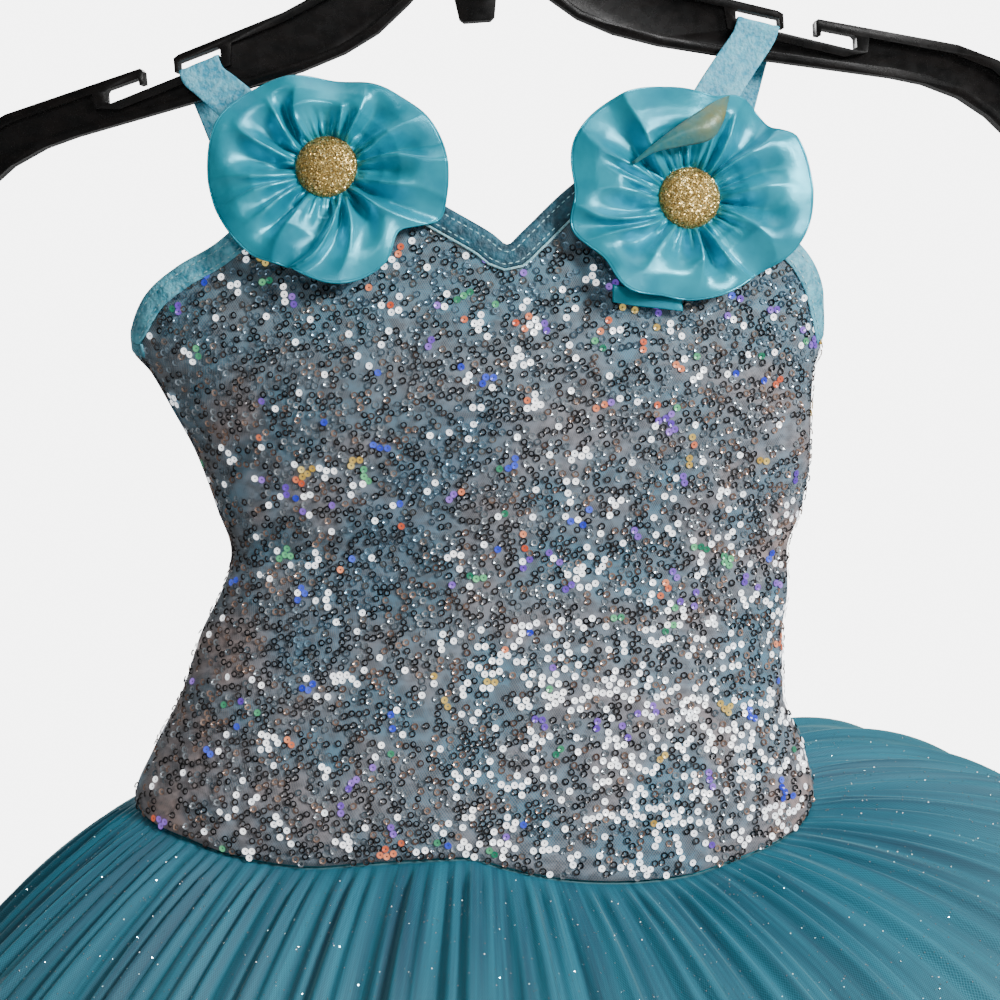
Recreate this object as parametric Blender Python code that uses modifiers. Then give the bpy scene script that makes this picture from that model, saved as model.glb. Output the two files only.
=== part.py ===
"""A child's sequinned dance leotard with a gathered net skirt, hung by its straps on a notched hanger.

Metres, +Z up. The origin is the inside top of the hanger's hook, where a rail carries it. The front of
the garment faces -Y and its width runs along X. Tables below give real sizes in millimetres.
"""

import math
from collections import namedtuple

import bmesh
import bpy
from mathutils import Matrix, Vector

MM = 0.001
GAP = 0.3  # between pieces that are sewn together or touch

# Cloth thicknesses
BODICE_WALL = 1.2
BRIEF_WALL = 1.2
NET_WALL = 1.0
BINDING_WALL = 0.8
STRAP_WALL = 1.5
SATIN_WALL = 1.0

# The torso, as sections from the shoulders down to the crotch: where the side seams lie and how far the
# front and the back stand out from the plane of the hanger
Section = namedtuple("Section", "z left right front back")
SECTIONS = (
    Section(-170, -131, 149, 21, 10),
    Section(-200, -131, 149.5, 27, 15),
    Section(-230, -131.5, 149.8, 33, 21),
    Section(-258, -131.5, 149.8, 36, 25),
    Section(-268, -124, 147, 36.5, 26),
    Section(-284, -115, 146.3, 36, 26),
    Section(-301, -106, 146.3, 34, 25),
    Section(-326, -97, 142.5, 32, 22),
    Section(-342, -92, 137.3, 31, 21),
    Section(-359, -97, 137.8, 32, 22),
    Section(-376, -105.5, 135.8, 34, 24),
    Section(-402, -114.4, 136.5, 38, 29),
    Section(-427, -127, 146, 43, 35),
    Section(-445, -134.5, 150, 46, 39),
    Section(-470, -136, 151, 47, 41),
    Section(-500, -128, 144, 43, 40),
    Section(-530, -110, 128, 34, 33),
    Section(-560, -85, 105, 22, 22),
    Section(-584, -62, 82, 11, 11),
    Section(-596, -50, 70, 7, 7),
)

# Edges of the front, as the eye meets them from the front
Edge = namedtuple("Edge", "x z")
FRONT_ARMHOLE_LEFT = (
    Edge(-131.5, -259), Edge(-130.8, -250.5), Edge(-123.5, -236.8), Edge(-110.5, -226.3),
    Edge(-94, -216.8), Edge(-80, -203.5), Edge(-73, -189),
)
FRONT_NECK = (
    Edge(-59, -177), Edge(-43, -181), Edge(-26, -189), Edge(-8, -200), Edge(13, -212), Edge(21.2, -217.6),
    Edge(28.2, -212), Edge(45, -196), Edge(62, -184), Edge(83, -176),
)
FRONT_ARMHOLE_RIGHT = (
    Edge(101, -184), Edge(113, -196), Edge(127, -207.5), Edge(141, -220), Edge(147.8, -232),
    Edge(149.5, -243), Edge(149.8, -251),
)
FRONT_HIP = (
    Edge(-134.8, -447), Edge(-126, -453), Edge(-110, -457.5), Edge(-92, -462), Edge(-74, -464.5),
    Edge(-56, -465), Edge(-38, -463), Edge(-15, -461), Edge(7.6, -460), Edge(17, -463), Edge(38, -468),
    Edge(57, -470.5), Edge(76, -471), Edge(96, -469.5), Edge(110, -466), Edge(130, -460.5),
    Edge(144, -454), Edge(150, -445),
)

# Edges of the back, from the right side seam round to the left one
BACK_ARMHOLE_RIGHT = (
    Edge(149.8, -251), Edge(147, -245), Edge(135, -240), Edge(120, -236), Edge(107, -232),
)
BACK_NECK = (
    Edge(89, -228), Edge(81, -250), Edge(62, -276), Edge(36, -293), Edge(12, -298), Edge(-14, -294),
    Edge(-38, -280), Edge(-54, -258), Edge(-61, -233.5),
)
BACK_ARMHOLE_LEFT = (
    Edge(-78.5, -239), Edge(-92, -243.5), Edge(-110, -248.5), Edge(-127, -253.5), Edge(-131.5, -259),
)
BACK_HIP = (
    Edge(150, -445), Edge(139, -438.5), Edge(120, -433), Edge(70, -427), Edge(8, -426), Edge(-55, -431),
    Edge(-105, -439), Edge(-134.8, -447),
)

# Brief: the edge of its leg openings, by height, from the side seam down to the crotch
LegEdge = namedtuple("LegEdge", "z front_left front_right back_left back_right")
LEG_EDGES = (
    LegEdge(-484, -135, 150.8, -135, 150.8),
    LegEdge(-502, -110, 126, -120, 136),
    LegEdge(-522, -86, 102, -106, 120),
    LegEdge(-548, -58, 74, -80, 95),
    LegEdge(-574, -34, 50, -50, 65),
    LegEdge(-596, -16, 32, -18, 34),
)
CROTCH = (-14, 30, -603)  # its left end, its right end and its height
BRIEF_TUCK = 4.0  # how far the brief runs up inside the bodice
BRIEF_SKIN = -BODICE_WALL - 1.1  # the brief's outside, off the torso's skin
BRIEF_COLUMNS = 20
BRIEF_ROWS_ABOVE_LEGS = 2

# Soft creases of the bodice front: where each is, how it runs, and how far it sinks (-) or swells (+)
Crease = namedtuple("Crease", "x z slant_deg length width depth")
CREASES = (
    Crease(-40, -372, 38, 95, 20, -3.2),
    Crease(-68, -342, 12, 60, 12, -2.6),
    Crease(10, -330, 55, 90, 34, 2.6),
    Crease(-70, -405, 30, 70, 22, 2.4),
    Crease(70, -400, -8, 90, 40, 2.2),
    Crease(60, -285, -24, 70, 22, -1.8),
    Crease(-60, -290, 22, 60, 20, 2.0),
)

BINDING_GAP = 0.4
BINDING_LEG = 8.5  # how far a binding reaches onto the cloth on each side

# Straps: the middle line and the line across it, from near the front corner over the hanger to near the
# back corner. The ends themselves meet the panels' top corners
STRAP_WIDTH = 16.5
StrapPoint = namedtuple("StrapPoint", "x y z across_x across_y across_z")
RIGHT_STRAP = (
    StrapPoint(97, -17.6, -170, 0.9, -0.2, -0.38),
    StrapPoint(106, -12.5, -155, 0.93, -0.1, -0.35),
    StrapPoint(114, -8.2, -143, 0.95, 0, -0.3),
    StrapPoint(119.4, -6.9, -135, 0.97, 0, -0.24),
    StrapPoint(121.3, -6.8, -130.3, 0.9736, 0, -0.2284),
    StrapPoint(121.7, -6.4, -129.1, 0.9736, 0, -0.2284),
    StrapPoint(121.9, -5.3, -128.6, 0.9736, 0, -0.2284),
    StrapPoint(121.9, 0, -128.6, 0.9736, 0, -0.2284),
    StrapPoint(121.9, 5.3, -128.6, 0.9736, 0, -0.2284),
    StrapPoint(121.7, 6.4, -129.1, 0.9736, 0, -0.2284),
    StrapPoint(121.3, 6.8, -130.3, 0.9736, 0, -0.2284),
    StrapPoint(120.4, 6.9, -135, 0.975, 0, -0.22),
    StrapPoint(117, 7.6, -148, 0.98, 0.02, -0.2),
    StrapPoint(110, 10.5, -178, 0.98, 0.08, -0.2),
    StrapPoint(103, 14.3, -208, 0.97, 0.14, -0.2),
)
LEFT_STRAP = (
    StrapPoint(-72.5, -18.6, -175, 0.77, -0.15, 0.6),
    StrapPoint(-84, -13, -163.5, 0.82, -0.08, 0.55),
    StrapPoint(-95, -8, -154, 0.89, 0, 0.44),
    StrapPoint(-100, -6.9, -150, 0.92, 0, 0.39),
    StrapPoint(-101.8, -6.8, -146.6, 0.931, 0, 0.365),
    StrapPoint(-102.2, -6.4, -145.3, 0.931, 0, 0.365),
    StrapPoint(-102.3, -5.3, -144.8, 0.931, 0, 0.365),
    StrapPoint(-102.3, 0, -144.8, 0.931, 0, 0.365),
    StrapPoint(-102.3, 5.3, -144.8, 0.931, 0, 0.365),
    StrapPoint(-102.2, 6.4, -145.3, 0.931, 0, 0.365),
    StrapPoint(-101.8, 6.8, -146.6, 0.931, 0, 0.365),
    StrapPoint(-100.8, 6.9, -151, 0.935, 0, 0.355),
    StrapPoint(-96, 7.8, -163, 0.945, 0, 0.33),
    StrapPoint(-87, 10.5, -187, 0.95, -0.03, 0.31),
    StrapPoint(-77, 14.3, -213, 0.95, -0.08, 0.3),
)

# Net skirt: the slope below level at which the net leaves the hip seam and at which it reaches the hem,
# by direction (0 front, 90 the right of the photograph, 180 back)
Flare = namedtuple("Flare", "around start end")
FLARES = (
    Flare(0, 26, 62), Flare(45, 12, 58), Flare(90, -8, 50), Flare(135, -6, 49), Flare(180, 2, 56),
    Flare(225, 18, 64), Flare(270, 36, 70), Flare(315, 34, 64),
)
HEM_HALF_WIDTH = 310.0
HEM_HALF_DEPTH = 225.0
GATHERS = 40
SkirtLayer = namedtuple("SkirtLayer", "name length drop steeper_deg points_a_gather rows wave_mm broad_mm")
SKIRT_LAYERS = (
    SkirtLayer("skirt_outer", 205, 1.2, 0, 4, 5, 5.5, 6),
    SkirtLayer("skirt_middle", 196, 3.4, 12, 2, 4, 4.5, 5),
    SkirtLayer("skirt_inner", 187, 5.6, 24, 2, 4, 4.5, 4),
)

# Rosettes: radius of the outer edge by direction, counter-clockwise from the right
Petal = namedtuple("Petal", "angle radius")
LEFT_PETALS = (
    Petal(0, 48.5), Petal(20, 45), Petal(46, 38.5), Petal(85, 34), Petal(118, 38), Petal(142, 42),
    Petal(163, 45.5), Petal(191, 47), Petal(210, 46), Petal(230, 45.5), Petal(250, 43), Petal(280, 48),
    Petal(301, 46), Petal(318, 39.5), Petal(338, 49.5),
)
RIGHT_PETALS = (
    Petal(3, 48.5), Petal(28, 48.5), Petal(40, 43.5), Petal(60, 45.5), Petal(78, 40), Petal(100, 43),
    Petal(122, 47.5), Petal(151, 51), Petal(178, 46), Petal(194, 49), Petal(215, 43), Petal(233, 46),
    Petal(255, 41), Petal(284, 40.5), Petal(308, 40), Petal(332, 45.5),
)
Rosette = namedtuple("Rosette", "side x z stand tilt_deg turn_deg waves phase_deg petals")
ROSETTES = (
    Rosette("left", -49.6, -187, 2.4, 12, -4, 10, 10, LEFT_PETALS),
    Rosette("right", 92.6, -199, 2.2, 10, 7, 9, 35, RIGHT_PETALS),
)
ROSETTE_HOLE = 6.0
ROSETTE_FLAT = 12.8  # out to here the ruffle is flat, under the button
ROSETTE_ROWS = (0.0, 0.3, 0.66, 1.0)  # shares of the way from there to its edge
ROSETTE_POINTS_A_WAVE = 6
ROSETTE_LIFT = 8.0
ROSETTE_WAVE = 4.2
BUTTON_RADIUS = 12.2
BUTTON_HEIGHT = 6.5
BUTTON_RIM = 1.8

# Hanger: one moulded piece, as the upper and lower edges of its right arm; the left arm mirrors it
HANGER_TILT_DEG = 4.1  # its right arm is the higher one
HANGER_DEPTH = 11.0
HANGER_UPPER = (
    Edge(12, -88), Edge(28, -95.5), Edge(50, -107), Edge(77, -119), Edge(104, -127.2),
)
HANGER_NOTCHES = (
    Edge(120.5, -132.6), Edge(122.6, -134), Edge(122.6, -139.6), Edge(121, -139.2), Edge(120.8, -135.6),
    Edge(104.6, -130.8), Edge(103.6, -132), Edge(103.6, -134.6), Edge(104.6, -136), Edge(149.5, -150),
    Edge(151.3, -149.2), Edge(151.3, -145.6), Edge(150.4, -144.4), Edge(137.4, -140.9),
    Edge(137.2, -143.6), Edge(135.4, -143.2), Edge(135.4, -138.2), Edge(136.4, -137),
)
HANGER_SHOULDER = (
    Edge(152.5, -141.2), Edge(172, -146), Edge(192, -151.2), Edge(208, -158.5), Edge(218, -168),
    Edge(223, -180), Edge(222.5, -191), Edge(217, -195.5), Edge(211, -189), Edge(203, -180.3),
    Edge(192, -172), Edge(178, -165.6), Edge(165, -162), Edge(140, -156.8), Edge(117, -152),
    Edge(100, -149), Edge(72, -142.5), Edge(54, -136.6), Edge(40, -129.5), Edge(27, -119),
    Edge(18, -110.5), Edge(11, -108), Edge(8.4, -119), Edge(7.2, -126.4), Edge(5.4, -128),
)
HANGER_POCKET = (
    Edge(26, -98.6), Edge(50, -111), Edge(77, -122.8), Edge(99, -129.6), Edge(100, -138.2),
    Edge(104, -139.6), Edge(146, -152.6), Edge(155.5, -151.5), Edge(156.5, -145.8), Edge(172, -149.6),
    Edge(190, -154.6), Edge(205, -161.8), Edge(214, -170.6), Edge(218.6, -180.6), Edge(218.5, -189),
    Edge(213, -186), Edge(205, -177.4), Edge(194, -168.9), Edge(179, -162.2), Edge(165.6, -158.6),
    Edge(141, -153.6), Edge(117.6, -148.6), Edge(100.6, -145.6), Edge(73, -139.2), Edge(55.8, -133.6),
    Edge(42, -126.8), Edge(29.6, -116.4), Edge(21, -107.5),
)
POCKET_DEPTH = 3.5
HOOK_WIRE = 3.1  # radius of the hook's rod
HOOK_INSIDE = 20.0
HOOK_STEM_FOOT = -86.0

COLOURS = {
    "sequin": ((0.33, 0.45, 0.50, 1), 0.3, 0.6),
    "spandex": ((0.05, 0.38, 0.46, 1), 0.35, 0.0),
    "velour": ((0.08, 0.34, 0.42, 1), 0.7, 0.0),
    "satin": ((0.03, 0.45, 0.52, 1), 0.3, 0.0),
    "gold": ((0.62, 0.42, 0.12, 1), 0.35, 1.0),
    "net": ((0.02, 0.22, 0.28, 1), 0.8, 0.0),
    "plastic": ((0.01, 0.01, 0.01, 1), 0.3, 0.0),
}


def clear_scene():
    for obj in list(bpy.data.objects):
        bpy.data.objects.remove(obj, do_unlink=True)


def make_collection(name):
    collection = bpy.data.collections.new(name)
    bpy.context.scene.collection.children.link(collection)
    return collection


def make_materials():
    made = {}
    for name, (colour, roughness, metallic) in COLOURS.items():
        material = bpy.data.materials.new(name)
        material.use_nodes = True
        shader = material.node_tree.nodes["Principled BSDF"]
        shader.inputs["Base Color"].default_value = colour
        shader.inputs["Roughness"].default_value = roughness
        shader.inputs["Metallic"].default_value = metallic
        made[name] = material
    return made


def knot_slope(keys, values, i):
    """The slope at knot i, 0 where the values turn, so that the curve never overshoots its table."""
    if i == 0 or i == len(keys) - 1:
        j = max(1, i)
        return (values[j] - values[j - 1]) / (keys[j] - keys[j - 1])
    before = (values[i] - values[i - 1]) / (keys[i] - keys[i - 1])
    after = (values[i + 1] - values[i]) / (keys[i + 1] - keys[i])
    if before * after <= 0:
        return 0.0
    return 2 * before * after / (before + after)


def smooth_value(keys, values, at):
    """Reads a table of rising keys as one smooth curve."""
    at = max(keys[0], min(keys[-1], at))
    i = max(0, min(len(keys) - 2, sum(key <= at for key in keys) - 1))
    width = keys[i + 1] - keys[i]
    t = (at - keys[i]) / width
    t2, t3 = t * t, t * t * t
    return (
        values[i] * (2 * t3 - 3 * t2 + 1) + values[i + 1] * (3 * t2 - 2 * t3)
        + width * knot_slope(keys, values, i) * (t3 - 2 * t2 + t)
        + width * knot_slope(keys, values, i + 1) * (t3 - t2)
    )


def catmull(points, per_span):
    """Points along a smooth curve through the given points, each a sequence of numbers."""
    ends = [points[0], *points, points[-1]]
    line = []
    for i in range(1, len(ends) - 2):
        for k in range(per_span):
            t = k / per_span
            line.append(tuple(
                0.5 * (2 * b + (c - a) * t + (2 * a - 5 * b + 4 * c - d) * t * t
                       + (3 * b - a - 3 * c + d) * t ** 3)
                for a, b, c, d in zip(*ends[i - 1 : i + 3])
            ))
    line.append(tuple(points[-1]))
    return line


def resample(line, count):
    """count points evenly spaced along a line of points."""
    along = [0.0]
    for a, b in zip(line, line[1:]):
        along.append(along[-1] + math.dist(a, b))
    made = []
    for k in range(count):
        at = along[-1] * k / (count - 1)
        i = max(0, min(len(line) - 2, sum(x <= at for x in along) - 1))
        t = (at - along[i]) / max(1e-9, along[i + 1] - along[i])
        made.append(tuple(a + (b - a) * t for a, b in zip(line[i], line[i + 1])))
    return made


SECTION_Z = [row.z for row in reversed(SECTIONS)]
SECTION_COLUMNS = [[getattr(row, name) for row in reversed(SECTIONS)] for name in Section._fields[1:]]


def section_at(z):
    """(left, right, front, back) of the torso at height z."""
    return [smooth_value(SECTION_Z, column, z) for column in SECTION_COLUMNS]


def crease_at(x, z):
    """How far the bodice front swells or sinks at a point."""
    total = 0.0
    for crease in CREASES:
        slant = math.radians(crease.slant_deg)
        dx, dz = x - crease.x, z - crease.z
        along = (dx * math.cos(slant) + dz * math.sin(slant)) / (crease.length / 2)
        across = (dz * math.cos(slant) - dx * math.sin(slant)) / (crease.width / 2)
        total += crease.depth * math.exp(-along * along - across * across)
    return total


def bare_point(phi, z):
    left, right, front, back = section_at(z)
    x = (left + right) / 2 + (right - left) / 2 * math.sin(phi)
    depth = front if math.cos(phi) > 0 else back
    return Vector((x, -depth * math.cos(phi), z))


def torso_point(phi, z, out=0.0):
    """A point of the torso: phi runs round it, 0 front, 90 degrees right, 180 back, and out is off its skin."""
    step = 0.004
    low, high = max(z - 0.5, SECTION_Z[0]), min(z + 0.5, SECTION_Z[-1])
    base = bare_point(phi, z)
    round_it = bare_point(phi + step, z) - bare_point(phi - step, z)
    up = bare_point(phi, high) - bare_point(phi, low)
    swell = crease_at(base.x, z) * min(1.0, max(0.0, math.cos(phi)) * 2)
    return base + round_it.cross(up).normalized() * (out + swell)


def angle_of(x, z, on_back):
    """The angle round the torso at which a point of an edge lies."""
    left, right, _, _ = section_at(z)
    share = (x - (left + right) / 2) / ((right - left) / 2)
    phi = math.asin(max(-1.0, min(1.0, share)))
    return math.pi - phi if on_back else phi


def edge_line(table, count, on_back=False):
    """count (phi, z) pairs along an edge table, spaced evenly and closer where the torso turns."""
    line = [(x, z, 100 * angle_of(x, z, on_back)) for x, z in catmull(table, 8)]
    return [(phi / 100, z) for _, z, phi in resample(line, count)]


def edge_height(pairs):
    """A function that gives an edge's z at an angle, from (phi, z) pairs in rising order of phi."""
    keys, values = [], []
    for phi, z in pairs:
        if not keys or phi > keys[-1] + 1e-5:
            keys.append(phi)
            values.append(z)
    return lambda phi: smooth_value(keys, values, phi)


def cloth_object(name, rows, material, collection, inner=None, wall=0.0, closed=False):
    """A sheet through rows of points in millimetres. Its wall is the space down to the inner rows, or else
    wall thick, half to each side. closed joins the row ends."""
    columns = len(rows[0]) - (0 if closed else 1)
    bm = bmesh.new()
    bmesh.ops.create_grid(bm, x_segments=columns, y_segments=len(rows) - 1, size=1.0)
    place = bm.verts.layers.int.new("place")
    for vert in bm.verts:
        i = round((vert.co.x + 1) / 2 * columns)
        j = round((vert.co.y + 1) / 2 * (len(rows) - 1))
        vert[place] = j * 1000 + (i % columns if closed else i)
        vert.co = Vector(rows[vert[place] // 1000][vert[place] % 1000]) * MM
    if closed:
        bmesh.ops.remove_doubles(bm, verts=bm.verts, dist=1e-6)
    if inner:
        made = bmesh.ops.extrude_face_region(bm, geom=list(bm.faces), use_keep_orig=True)
        for item in made["geom"]:
            if isinstance(item, bmesh.types.BMVert):
                item.co = Vector(inner[item[place] // 1000][item[place] % 1000]) * MM
        bmesh.ops.triangulate(bm, faces=bm.faces, quad_method="SHORT_EDGE")
    bmesh.ops.recalc_face_normals(bm, faces=bm.faces)
    bm.verts.layers.int.remove(bm.verts.layers.int["place"])
    mesh = bpy.data.meshes.new(name)
    bm.to_mesh(mesh)
    bm.free()
    mesh.materials.append(material)
    mesh.shade_smooth()
    obj = bpy.data.objects.new(name, mesh)
    collection.objects.link(obj)
    if not inner:
        solid = obj.modifiers.new("wall", "SOLIDIFY")
        solid.thickness = wall * MM
        solid.offset = 0
        solid.use_even_offset = True
    return obj


def into_panel(ring, i, reach, corners):
    """The (phi, z) that lies reach inside the panel from point i of its top edge, a closed ring. corners
    holds the points after which one edge ends and the next begins."""
    phi, z = ring[i]
    turn = 2 * math.pi
    before = ring[i - 1] if i else (ring[-2][0] - turn, ring[-2][1])
    after = ring[i + 1] if i < len(ring) - 1 else (ring[1][0] + turn, ring[1][1])
    if abs(math.cos(phi)) < 1e-3:
        return phi, z - reach
    along = (torso_point(*after) - torso_point(*before)).normalized()
    if i in corners:
        along += (torso_point(*ring[i]) - torso_point(*before)).normalized() * 3
    if i - 1 in corners:
        along += (torso_point(*after) - torso_point(*ring[i])).normalized() * 3
    along.normalize()
    step = 0.01
    by_phi = (torso_point(phi + step, z) - torso_point(phi - step, z)) / (2 * step)
    by_z = torso_point(phi, z + 0.5) - torso_point(phi, z - 0.5)
    across = along.cross(by_phi.cross(by_z).normalized()) * reach
    pp, pz, zz = by_phi.dot(by_phi), by_phi.dot(by_z), by_z.dot(by_z)
    rp, rz = across.dot(by_phi), across.dot(by_z)
    det = pp * zz - pz * pz
    return phi + (rp * zz - rz * pz) / det, z + (rz * pp - rp * pz) / det


def panel_grid(ring, first, last, low, rows, corners):
    """Rows of (phi, z, shift) of a panel from its top edge down to the height low gives. The second row lies
    where the binding's leg ends, and shift keeps the two panels apart at the side seams."""
    columns = []
    for i in range(first, last + 1):
        phi, z = ring[i]
        leg_phi, leg_z = into_panel(ring, i, BINDING_LEG, corners)
        hip_phi = ring[first][0] + (ring[last][0] - ring[first][0]) * (i - first) / (last - first)
        shift = 0.0
        if i in (first, last):
            shift = -GAP if first == 0 else GAP
        column = [(phi, z, shift), (leg_phi, leg_z, shift)]
        for j in range(1, rows):
            t = 1 - (1 - j / (rows - 1)) ** 1.3
            at = leg_phi + (hip_phi - leg_phi) * t
            column.append((at, leg_z + (low(at) - leg_z) * t, shift))
        columns.append(column)
    return [list(row) for row in zip(*columns)]


def skin_point(spot, out):
    phi, z, shift = spot
    return torso_point(phi, z, out) + Vector((0, shift, 0))


def build_panel(name, grid, out, wall, material, collection):
    outer = [[skin_point(spot, out) for spot in row] for row in grid]
    inner = [[skin_point(spot, out - wall) for spot in row] for row in grid]
    return cloth_object(name, outer, material, collection, inner)


def build_binding(name, edge, leg, materials, collection):
    """A strip folded over a panel's edge. edge and leg are its spots, column by column: on the panel's edge
    and where the strip ends on each side."""
    def path(off):
        rows = [[], [], [], []]
        for on_edge, on_leg in zip(edge, leg):
            for side, out in ((0, off), (2, -BODICE_WALL - off)):
                rim, end = skin_point(on_edge, out), skin_point(on_leg, out)
                lip = rim + (rim - end).normalized() * off
                pair = [end, lip] if side == 0 else [lip, end]
                rows[side].append(pair[0])
                rows[side + 1].append(pair[1])
        return rows
    return cloth_object(
        name, path(BINDING_GAP + BINDING_WALL), materials["velour"], collection, inner=path(BINDING_GAP)
    )


def build_bodice(materials, collection):
    """The front and back panels with their bindings. Returns the heights of the hip seam, front and back,
    and the panels' top corners, where the straps are sewn."""
    arm, neck, back_arm, back_neck = 10, 15, 9, 12  # points along each edge
    front = (
        edge_line(FRONT_ARMHOLE_LEFT, arm) + edge_line(FRONT_NECK, neck)
        + edge_line(FRONT_ARMHOLE_RIGHT, arm)
    )
    back = (
        edge_line(BACK_ARMHOLE_RIGHT, back_arm, True) + edge_line(BACK_NECK, back_neck, True)
        + edge_line(BACK_ARMHOLE_LEFT, back_arm, True)
    )
    ring = front + back[1:]
    seam = len(front) - 1
    front_hip = edge_height(edge_line(FRONT_HIP, 40))
    back_hip = edge_height(edge_line(BACK_HIP, 30, True))
    corners = (arm - 1, arm + neck - 1, seam + back_arm - 1, seam + back_arm + back_neck - 1)
    front_grid = panel_grid(ring, 0, seam, front_hip, 10, corners)
    back_grid = panel_grid(ring, seam, len(ring) - 1, back_hip, 7, corners)
    build_panel("bodice_front", front_grid, 0, BODICE_WALL, materials["sequin"], collection)
    build_panel("bodice_back", back_grid, 0, BODICE_WALL, materials["spandex"], collection)

    def strip(name, *parts):
        lines = []
        for row in (0, 1):
            spots = [spot for grid, start, stop in parts for spot in grid[row][start:stop]]
            lines.append([(phi % (2 * math.pi), z, 0.0) for phi, z, _ in spots])
        build_binding(name, lines[0], lines[1], materials, collection)

    strip("neck_binding_front", (front_grid, arm, arm + neck))
    strip("neck_binding_back", (back_grid, back_arm, back_arm + back_neck))
    strip("armhole_binding_right", (front_grid, arm + neck, arm + neck + arm), (back_grid, 1, back_arm))
    strip(
        "armhole_binding_left", (back_grid, back_arm + back_neck, back_arm + back_neck + back_arm),
        (front_grid, 1, arm),
    )
    tops = [(ring[i], ring[i + 1]) for i in corners]
    return front_hip, back_hip, {"left": (tops[0], tops[3]), "right": (tops[1], tops[2])}


def build_brief(front_hip, back_hip, materials, collection):
    """The brief, cut in one piece through the crotch: down the front from the hip seam and up the back."""
    outer, inner = [], []

    def add_row(left, right, height, on_back):
        first, last = [angle_of(x, height(0), on_back) for x in (left, right)]
        pair = [], []
        for i in range(BRIEF_COLUMNS + 1):
            phi = first + (last - first) * i / BRIEF_COLUMNS
            shift = 0.0 if 0 < i < BRIEF_COLUMNS else (GAP if on_back else -GAP)
            for line, out in zip(pair, (BRIEF_SKIN, BRIEF_SKIN - BRIEF_WALL)):
                line.append(skin_point((phi, height(phi), shift), out))
        outer.append(pair[0])
        inner.append(pair[1])

    def add_upper_row(hip, share, on_back):
        widest = LEG_EDGES[0]
        past_left, past_right = widest.front_left * 2, widest.front_right * 2
        add_row(
            past_left, past_right,
            lambda phi: (hip(phi) + BRIEF_TUCK) * (1 - share) + widest.z * share, on_back,
        )

    shares = [k / BRIEF_ROWS_ABOVE_LEGS for k in range(BRIEF_ROWS_ABOVE_LEGS)]
    for share in shares:
        add_upper_row(front_hip, share, False)
    for row in LEG_EDGES:
        add_row(row.front_left, row.front_right, lambda phi, z=row.z: z, False)
    crotch_left, crotch_right, crotch_z = CROTCH
    for line, z in ((outer, crotch_z), (inner, crotch_z + BRIEF_WALL)):
        step = (crotch_right - crotch_left) / BRIEF_COLUMNS
        line.append([Vector((crotch_left + step * i, 0, z)) for i in range(BRIEF_COLUMNS + 1)])
    for row in reversed(LEG_EDGES):
        add_row(row.back_left, row.back_right, lambda phi, z=row.z: z, True)
    for share in reversed(shares):
        add_upper_row(back_hip, share, True)
    cloth_object("brief", outer, materials["spandex"], collection, inner)


def build_straps(tops, materials, collection):
    for name, table in (("right", RIGHT_STRAP), ("left", LEFT_STRAP)):
        ends = []
        for pair, near in zip(tops[name], (table[0], table[-1])):
            first, last = sorted((torso_point(*spot, -BODICE_WALL / 2) for spot in pair), key=lambda p: p.x)
            middle = (first + last) / 2
            middle += (Vector(near[:3]) - middle).normalized() * (GAP + 0.1)
            ends.append(StrapPoint(*middle, *(last - first).normalized()))
        rows = []
        for x, y, z, across_x, across_y, across_z in catmull([ends[0], *table, ends[1]], 2):
            across = Vector((across_x, across_y, across_z)).normalized() * STRAP_WIDTH / 2
            rows.append([Vector((x, y, z)) + across * share for share in (-1, 0, 1)])
        cloth_object("strap_" + name, rows, materials["velour"], collection, wall=STRAP_WALL)


def build_skirt(front_hip, back_hip, materials, collection):
    """Three gathered net layers, each sewn round the brief a little lower than the one before."""
    around = [math.radians(row.around) for row in FLARES] + [2 * math.pi]
    starts = [row.start for row in FLARES] + [FLARES[0].start]
    ends = [row.end for row in FLARES] + [FLARES[0].end]
    for layer in SKIRT_LAYERS:
        columns = GATHERS * layer.points_a_gather
        lines = []
        for i in range(columns):
            phi = 2 * math.pi * i / columns
            turned = phi - 2 * math.pi if phi > 1.5 * math.pi else phi
            hip = front_hip(turned) if turned <= 0.5 * math.pi else back_hip(turned)
            root = torso_point(turned, hip - layer.drop, BRIEF_SKIN + GAP + 0.3)
            hem = Vector((8 + HEM_HALF_WIDTH * math.sin(phi), -HEM_HALF_DEPTH * math.cos(phi), 0))
            away = Vector((hem.x - root.x, hem.y - root.y, 0)).normalized()
            start = smooth_value(around, starts, phi) + layer.steeper_deg
            end = min(88, smooth_value(around, ends, phi) + layer.steeper_deg * 0.9)
            gather = math.cos(GATHERS * phi)
            broad = math.sin(5 * phi + 0.7) + 0.6 * math.sin(11 * phi + 2)
            line = []
            point = root.copy()
            fine = 40
            for k in range(fine + 1):
                t = k / fine
                slope = math.radians(start + (end - start) * (t * 0.75 + 0.25 * t * t))
                run = away * math.cos(slope) - Vector((0, 0, math.sin(slope)))
                normal = away * math.sin(slope) + Vector((0, 0, math.cos(slope)))
                grow = max(0.0, t - 0.03) / 0.97
                swell = gather * layer.wave_mm * grow ** 0.7 + broad * layer.broad_mm * grow ** 1.3
                line.append(point + normal * swell * min(1, grow * 8))
                point = point + run * (layer.length / fine)
            stops = [0.0] + [((j + 1) / layer.rows) ** 1.15 for j in range(layer.rows)]
            lines.append([line[round(stop * fine)] for stop in stops])
        rows = [list(row) for row in zip(*lines)]
        cloth_object(layer.name, rows, materials["net"], collection, wall=NET_WALL, closed=True)


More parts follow.
